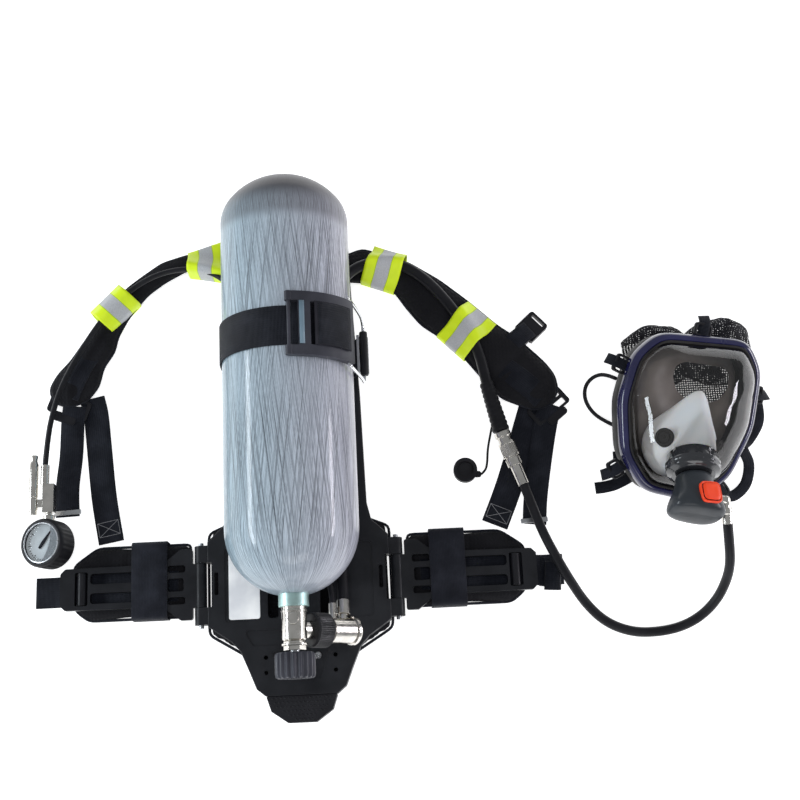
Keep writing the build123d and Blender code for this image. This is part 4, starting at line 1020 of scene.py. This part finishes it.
# ---------------------------------------------------------------- hips
def make_hip(side, name):
    wing = f"{name}_wing"
    outline = [(side * x, y) for x, y in HIP_PAD]
    lines = [((side * x, -246), (side * x, -148)) for x in (158, 212, 262)]
    slab_pad(f"{name}_hip_cushion", outline, 1.6, 11.0, "mesh", wing, f"{name}_hip_pad", lines)
    finish_node(f"{name}_hip_plate", "plate", 0.8)
    finish_node(f"{name}_belt_roller", "black", 0.3)
    rise = ((329, 1.4), (316, 1.3), (302, 1.8), (293, 5), (285, 10.5), (276, 12.8), (262, 13.2),
            (230, 13.2), (190, 13.2), (150, 13.1))
    belt = [(side * x, WING_Y, z) for x, z in rise]
    strap(f"{name}_belt", belt, 38, wing, f"{name}_waist_webbing", side=(0, 1, 0))
    middle = side * 184
    loop = rounded([(-244.2, 1.0), (-148.8, 1.0), (-148.8, 25.8), (-244.2, 25.8)], 5, 6)
    path = [Vector((middle, point.x, point.y)) for point in loop]
    points, faces, uvs = sweep(path, strap_section(44, 1.2), (1, 0, 0), closed=True)
    add_piece(f"{name}_elastic_band", points, faces, "elastic", wing, uvs=uvs)
    if side > 0:
        fold = [(300, WING_Y - 2, 2.6), (312, WING_Y - 4, 4), (322, WING_Y - 7, 7), (323, WING_Y - 9, 11),
                (314, WING_Y - 9, 13.5), (304, WING_Y - 8, 12)]
        strap("right_belt_fold", fold, 36, wing, side=(0.1, 1, 0))


# ---------------------------------------------------------------- couplings and gauge
def make_coupling():
    boot = []
    for step in range(31):
        height = -68 + 2.2 * step
        swell = 0.0 if step % 3 == 0 else 0.9
        boot.append((8.0 + 2.2 * step / 30 + swell, height))
    path_frame = turned_frame((262, -30, 24), (0, 0, 1), (0.23, -0.97, -0.02))
    lathe("supply_boot", boot, path_frame, "rubber", "root", "hose_boot", 48, edge=0)
    for name in ("coupling_socket", "coupling_plug", "hose_elbow"):
        finish_node(name, "nickel", 0.4)
    sleeve = [(8.9, 14), (10.4, 14), (11, 15.4), (11, 17), (10.3, 17.8), (10.3, 30.4), (11, 31), (11, 33),
              (10.4, 34), (8.9, 34)]
    lathe("coupling_grip", sleeve, COUPLING, "nickel", "release_sleeve", "coupling_sleeve", 160, 32, 0.5,
          (17.5, 30.6), 0.2)
    finish_node("dust_cap", "rubber", 0.8)


def make_gauge():
    stem = turned_frame(GAUGE_CENTRE, (1, 0, 0), (0, 1, 0))
    boot = [(0, -16), (25, -16), (28.6, -14.6), (30.3, -11.6), (30.5, -9), (30.5, 9), (30.3, 12),
            (29.0, 15), (27.6, 16), (25.6, 15.9), (25.1, 14.6), (25.1, 9.2), (0, 9.2)]
    lathe("gauge_boot", boot, GAUGE, "rubber", "gauge_head", "gauge_case", 180, 30, 0.7, (-10, 9.1), 0.3)
    spigot = [(7.4, 27), (7.4, 35), (6.4, 36), (4, 36), (4, 46)]
    lathe("gauge_spigot", spigot, stem, "nickel", "gauge_head", (), 48)
    bezel = [(25.2, 14.2), (25.2, 15.6), (24.0, 15.9), (23.4, 15.3), (23.6, 14.2), (25.2, 14.2)]
    lathe("gauge_bezel", bezel, GAUGE, "steel", "gauge_head", (), 96, edge=0.2)
    finish_node("gauge_dial", "dial", 0.2)
    hand = [(-1.5, -8), (1.5, -8), (2.1, -1.4), (2.1, 1.4), (0.45, 19), (-0.45, 19), (-2.1, 1.4),
            (-2.1, -1.4)]
    turn = GAUGE @ Matrix.Rotation(math.radians(DIAL_ZERO - 90), 4, "Z")
    loft("needle_hand", [[(x, y, height) for x, y in hand] for height in (11.0, 12.0)], "ink", "needle",
         "gauge_needle", turn)
    lathe("gauge_glass", [(25.0, 14.2), (24.6, 15.2), (23.8, 15.5), (12, 15.8), (0, 15.9)], GAUGE,
          "lens", "gauge_head", "gauge_lens", 96, edge=0)
    finish_node("gauge_manifold", "nickel", 0.6)
    whistle = turned_frame((-329, -109, 27), (1, 0, 0), (0, 1, 0))
    pipe = [(0, 0), (4.4, 0), (5, 0.8), (5, 5), (6, 7), (6, 20), (5.2, 20.8), (5.2, 22.2), (6, 23), (6, 64),
            (4.4, 68), (4.4, 71), (5, 72), (5, 75), (4.2, 76), (0, 76)]
    lathe("whistle_pipe", pipe, whistle, "nickel", "root", "alarm_whistle", 48)
    make_dial_marks()


def make_dial_marks():
    """Thirty-one marks, every fifth one longer and wider, and the red sector of the first ones."""
    points, faces = [], []
    for step in range(31):
        angle = math.radians(DIAL_ZERO - DIAL_TURN * step / 30)
        outer, inner = 21.6, (17.6 if step % 5 == 0 else 19.6)
        wide = 0.36 if step % 5 == 0 else 0.2
        c, s = math.cos(angle), math.sin(angle)
        corners = [(inner, -wide), (outer, -wide), (outer, wide), (inner, wide)]
        base = len(points)
        for level in (9.9, 10.6):
            points += [(r * c - w * s, r * s + w * c, level) for r, w in corners]
        faces.append((base + 4, base + 5, base + 6, base + 7))
        for side in range(4):
            after = (side + 1) % 4
            faces.append((base + side, base + after, base + 4 + after, base + 4 + side))
    add_piece("dial_ticks", points, faces, "ink", "gauge_head", (), GAUGE)
    points, faces = [], []
    for step in range(17):
        angle = math.radians(DIAL_ZERO - 48 * step / 16)
        for radius in (15.0, 21.0):
            for level in (9.9, 10.7):
                points.append((radius * math.cos(angle), radius * math.sin(angle), level))
    for a in range(0, 64, 4):
        faces += [(a + 1, a + 3, a + 7, a + 5), (a, a + 1, a + 5, a + 4), (a + 2, a + 6, a + 7, a + 3)]
    add_piece("dial_red_arc", points, faces, "red", "gauge_head", (), GAUGE)


# ---------------------------------------------------------------- mask
def mask_outline():
    """The rim's outline, its top edge skewed a little, with long easy corners."""
    outline = rounded(mirrored(MASK_RIM), 22)
    skewed = [Vector((point.x, point.y + 0.13 * point.x * max(0, point.y) / 98)) for point in outline]
    return even_loop(skewed, 4.0, 12)


def rim_sweep(name, section, paint, node, edge):
    """Section of (outward, height) points carried round the mask's outline."""
    outline = mask_outline()
    columns = [inset(outline, -out) for out, _ in section]
    rings = []
    for index in range(len(outline)):
        rings.append([(*column[index], height) for column, (_, height) in zip(columns, section)])
    rings.append(rings[0])
    piece = loft(name, rings, paint, "mask", node, MASK, (False, False))
    weld(piece)
    soften_edges(piece, edge)


def make_mask():
    rim = [(-9, -8), (-1.2, -8), (0, -6.5), (0, 1.5), (-1.6, 5.5), (-4.6, 8), (-7.4, 8.6), (-9, 7.6)]
    rim_sweep("mask_rim", rim, "frame", "mask_frame", 0.7)
    rim_sweep("mask_gasket", [(-9.0, 7.0), (-9.0, 8.8), (-10.2, 9.8), (-12.0, 9.2), (-12.4, 7.0)],
              "seal", (), 0.3)
    seal = [(-2.4, -8.2), (-1.6, -16), (-2.2, -28), (-5, -36), (-10, -38), (-14, -36), (-17, -32),
            (-18, -29.5), (-16, -29), (-12.5, -32), (-9.5, -33.5), (-6.5, -31), (-7.4, -18), (-9.2, -8.2)]
    rim_sweep("mask_skirt", seal, "seal", "face_seal", 0.4)
    # the seal's inner lip closes the wearer's side but for a window near the brow
    lip_out = [(*point, -31.0) for point in inset(mask_outline(), 15.5)]
    window = [(24 + 46 * point[0] / 90, 45 + 29 * point[1] / 105) for point in lip_out]
    lip_in = [(*point, -29.5) for point in window]
    lip_mid = [tuple(Vector(a).lerp(Vector(b), 0.5) + Vector((0, 0, 2.0))) for a, b in zip(lip_out, lip_in)]
    lip_under = [(x, y, z - 1.4) for x, y, z in lip_in]
    loft("seal_lip", [lip_out, lip_mid, lip_in, lip_under], "lip", "mask", (), MASK,
         (False, False))
    centre = Vector((0, -2))
    inner = inset(mask_outline(), 10.4)
    rings = [[(*point, -5.0) for point in inner]]
    for share in (1.0, 0.995, 0.985, 0.965, 0.94, 0.9, 0.85, 0.78, 0.7, 0.6, 0.5, 0.4, 0.3, 0.2, 0.1, 0.03):
        height = 66 * (1 - share**2.2) ** 0.625
        rings.append([(*(centre + (point - centre) * share), height) for point in inner])
    visor = loft("visor_shell", rings, "visor", "mask", "visor", MASK, (False, True))
    subdivide(visor)
    make_nose_cup()
    ring = [(22, -16), (29, -16), (31, -13), (32, -4), (33.5, -2), (33.5, 2), (32.4, 3.2), (32.4, 7.4),
            (31, 9), (27, 10.4), (25.6, 11.8), (22, 11.8)]
    lathe("port_collar", ring, PORT, "smoke", "mask", "demand_port_ring", 144, 12, 0.6, (-2.5, 2.5), 0.4)


def make_nose_cup():
    """Inner mask, from an egg on the wearer's side to a round seat behind the port, and its valves."""
    port_in_mask = MASK.inverted() @ PORT
    half = [(2, 36), (14, 22), (25, 4), (40, -14), (48, -36), (44, -60), (26, -78), (2, -84)]
    egg = even_loop(mirrored(half), 5.0, 4)
    count = len(egg)
    first = min(range(count), key=lambda index: abs(egg[index].x) - egg[index].y)
    rings = []
    for share in (0.0, 0.06, 0.14, 0.26, 0.4, 0.55, 0.7, 0.84, 0.95, 1.0):
        ring = []
        for step in range(count):
            angle = 2 * math.pi * step / count
            rim = egg[(first + step) % count]
            high = 30 * max(0.0, (rim.y + 20) / 56)
            base = Vector((rim.x * 1.08 + 7, rim.y, -18 + high))
            seat = port_in_mask @ Vector((25 * math.sin(angle), 25 * math.cos(angle), -9))
            bulge = math.sin(math.pi * share) ** 0.8 * 9
            point = base.lerp(seat, share**1.2) + Vector((0, 0.1, 0.9)) * bulge
            ring.append(tuple(point))
        rings.append(ring)
    cup = loft("nose_cup", rings, "cup", "mask", "inner_mask", MASK, (False, False))
    thick = cup.modifiers.new("thick", "SOLIDIFY")
    thick.thickness = 1.8 * MM
    subdivide(cup)
    for side in (-1, 1):
        place = MASK @ turned_frame((side * 37 + 1, -34, 30), (0, 1, 0), (side * 0.6, 0.1, 0.8))
        disc = [(11.5, -8), (11.5, 1.4), (10.6, 2.4), (8.4, 2.4), (7.8, 1.2), (6.6, 1.2), (6.2, 2.2),
                (2.0, 2.2), (1.6, 3.2), (0.0, 3.4)]
        name = "left" if side < 0 else "right"
        lathe(f"{name}_cup_valve", disc, place, "seal", "mask", (), 48, edge=0.2)


def levels(outline, *steps):
    """Rings of an outline, one for each (scale, height)."""
    return [[(x * scale, y * scale, height) for x, y in outline] for scale, height in steps]


def make_demand_valve():
    shape = ((11.9, 22, 22, 2), (19, 22.4, 22.2, 2), (26, 23.4, 22.8, 2.05), (33, 25.2, 23.8, 2.15),
             (40, 27.8, 25, 2.3), (47, 30.8, 26.2, 2.45), (54, 33.2, 27, 2.6), (59, 34, 26.8, 2.7),
             (62.6, 33, 25.2, 2.7), (65, 30, 22, 2.6), (66.2, 24, 17, 2.5), (66.6, 14, 10, 2.4))
    rings = [[(x, y, height) for x, y in oval(a, b, power)] for height, a, b, power in shape]
    bulb = loft("demand_bulb", rings, "valve", "mask", ("demand_valve_body", "demand_diaphragm"), PORT)
    subdivide(bulb)
    upright = PORT @ turned_frame((5, 25.4, 46), (1, 0, -0.13), (0, 1, 0.02))
    rings = levels(oval(13.2, 13.2, 4.6), (1, 0), (1, 4.0), (0.97, 4.8))
    rings += levels(oval(11.5, 11.5, 4.6), (1, 4.6), (1, 0))
    loft("button_bezel", rings, "button", "mask", (), upright, (False, False))
    rings = levels(oval(10.7, 10.7, 4.4), (1, 4.9), (1, 5.4), (0.97, 5.9), (0.9, 6.4), (0.6, 6.2),
                   (0.2, 6.1))
    loft("button_cap", rings, "button", "button", "demand_button", upright)


def net_lump(name, low_x, high_x, height, seed, node=()):
    """Bunched net: an arch of cloth over the mask's crown, with its own folds."""
    arch = [(24, 1.5), (26, 12), (40, 22), (58, 33), (70, 45), (80, 56), (90, 60), (98, 54), (102, 40),
            (102, 22), (96, 8), (88, 1.5)]
    curve = smooth_path([(0, y, z) for y, z in arch], NET_PITCH)
    columns = round((high_x - low_x) / NET_PITCH)
    points, uvs = [], []
    run = 0.0
    for row, spot in enumerate(curve):
        if row:
            run += (spot - curve[row - 1]).length
        for column in range(columns + 1):
            share = column / columns
            x = low_x + (high_x - low_x) * share
            dome = max(0.0, math.sin(math.pi * (0.01 + 0.98 * share))) ** 0.55
            fold = noise.noise(Vector((x * 0.045, run * 0.035, seed))) * 6.5
            fold += noise.noise(Vector((x * 0.13, run * 0.1, seed + 5))) * 2.2
            z = max(0.8, spot.z * height * (0.08 + 0.92 * dome) + fold * min(1, spot.z / 15) * 0.8)
            y = 70 + (spot.y - 70) * (0.5 + 0.5 * dome) + fold * 0.5
            points.append((x + fold * 0.35, max(23, min(103, y)), min(z, 61)))
            uvs.append((x * MM, run * MM))
    faces = sheet_faces(len(curve), columns + 1)
    subdivide(add_piece(name, points, faces, "net", "mask", node, uvs=uvs))


def make_spread_net():
    """Net lying flat under the mask, kept to an oval inside its rim."""
    columns, rows = range(410, 590, 5), range(-120, 72, 5)
    points = [(x, y, 2.2 + 1.8 * noise.noise(Vector((x, y, 0)) * 0.03)) for y in rows for x in columns]
    inside = MASK.inverted()
    faces = []
    for face in sheet_faces(len(rows), len(columns)):
        local = inside @ Vector(points[face[0]])
        if ((local.x - 14) / 76) ** 2 + (local.y / 92) ** 2 < 1:
            faces.append(face)
    uvs = [(x * MM, y * MM) for x, y, _ in points]
    add_piece("net_spread", points, faces, "net", "mask", uvs=uvs)


def make_head_harness():
    net_lump("net_left", 428, 514, 0.72, 1.0, "head_harness")
    net_lump("net_right", 504, 594, 1.06, 9.0)
    make_spread_net()
    spots = ((0, 107, -4, 0), (-94, 44, -12, 78), (94, 44, -12, -78), (-72, -84, -12, 130),
             (72, -84, -12, -130))
    for number, (x, y, z, turn) in enumerate(spots):
        place = MASK @ Matrix.Translation((x, y, z)) @ Matrix.Rotation(math.radians(turn), 4, "Z")
        rings = levels(oval(11.5, 9, 5, 40), (1, -2.4), (1, 2.0), (0.95, 2.8))
        rings += levels(oval(8.6, 5.4, 5, 40), (1, 2.6), (1, -2.4))
        rings.append(rings[0])
        loft(f"mask_buckle_{number}", rings, "black", "mask", (), place, (False, False))
        bend = ((0, -12, 1), (0, -4, 2.6), (0, 4, 2.6), (0, 12, 0), (0, 18, -6))
        tongue = [tuple(place @ Vector(point)) for point in bend]
        strap(f"mask_tongue_{number}", tongue, 14, "mask", (), 1.6)
    routes = (
        ("left_mask_strap", 15, [(378, -103, 1.6), (390, -102, 1.8), (404, -99, 2.4), (420, -92, 6),
                                 (432, -84, 12)]),
        ("left_mask_strap_short", 14, [(402, -66, 14), (414, -66, 16), (428, -64, 20)]),
        ("right_mask_strap", 15, [(572, 40, 34), (584, 22, 22), (594, -2, 10), (594, -26, 6),
                                  (580, -48, 9), (566, -60, 20)]),
        ("right_mask_strap_low", 14, [(566, -66, 22), (574, -84, 12), (568, -108, 6), (550, -122, 5),
                                      (536, -116, 12)]),
    )
    for name, width, route in routes:
        strap(name, route, width, "mask", (), 1.6)


make_camera()
make_studio()
PAINTS = make_paints()
make_hoses()
make_cylinder()
make_cylinder_strap()
make_valve()
make_plate()
slab_pad("back_cushion", BACK_PAD, 0.6, 7.6, "pad", "root", "back_pad",
         [((-66, y), (66, y)) for y in (130, 40, -50)])
make_shoulders()
make_hip(1, "right")
make_hip(-1, "left")
make_coupling()
make_gauge()
make_mask()
make_demand_valve()
make_head_harness()
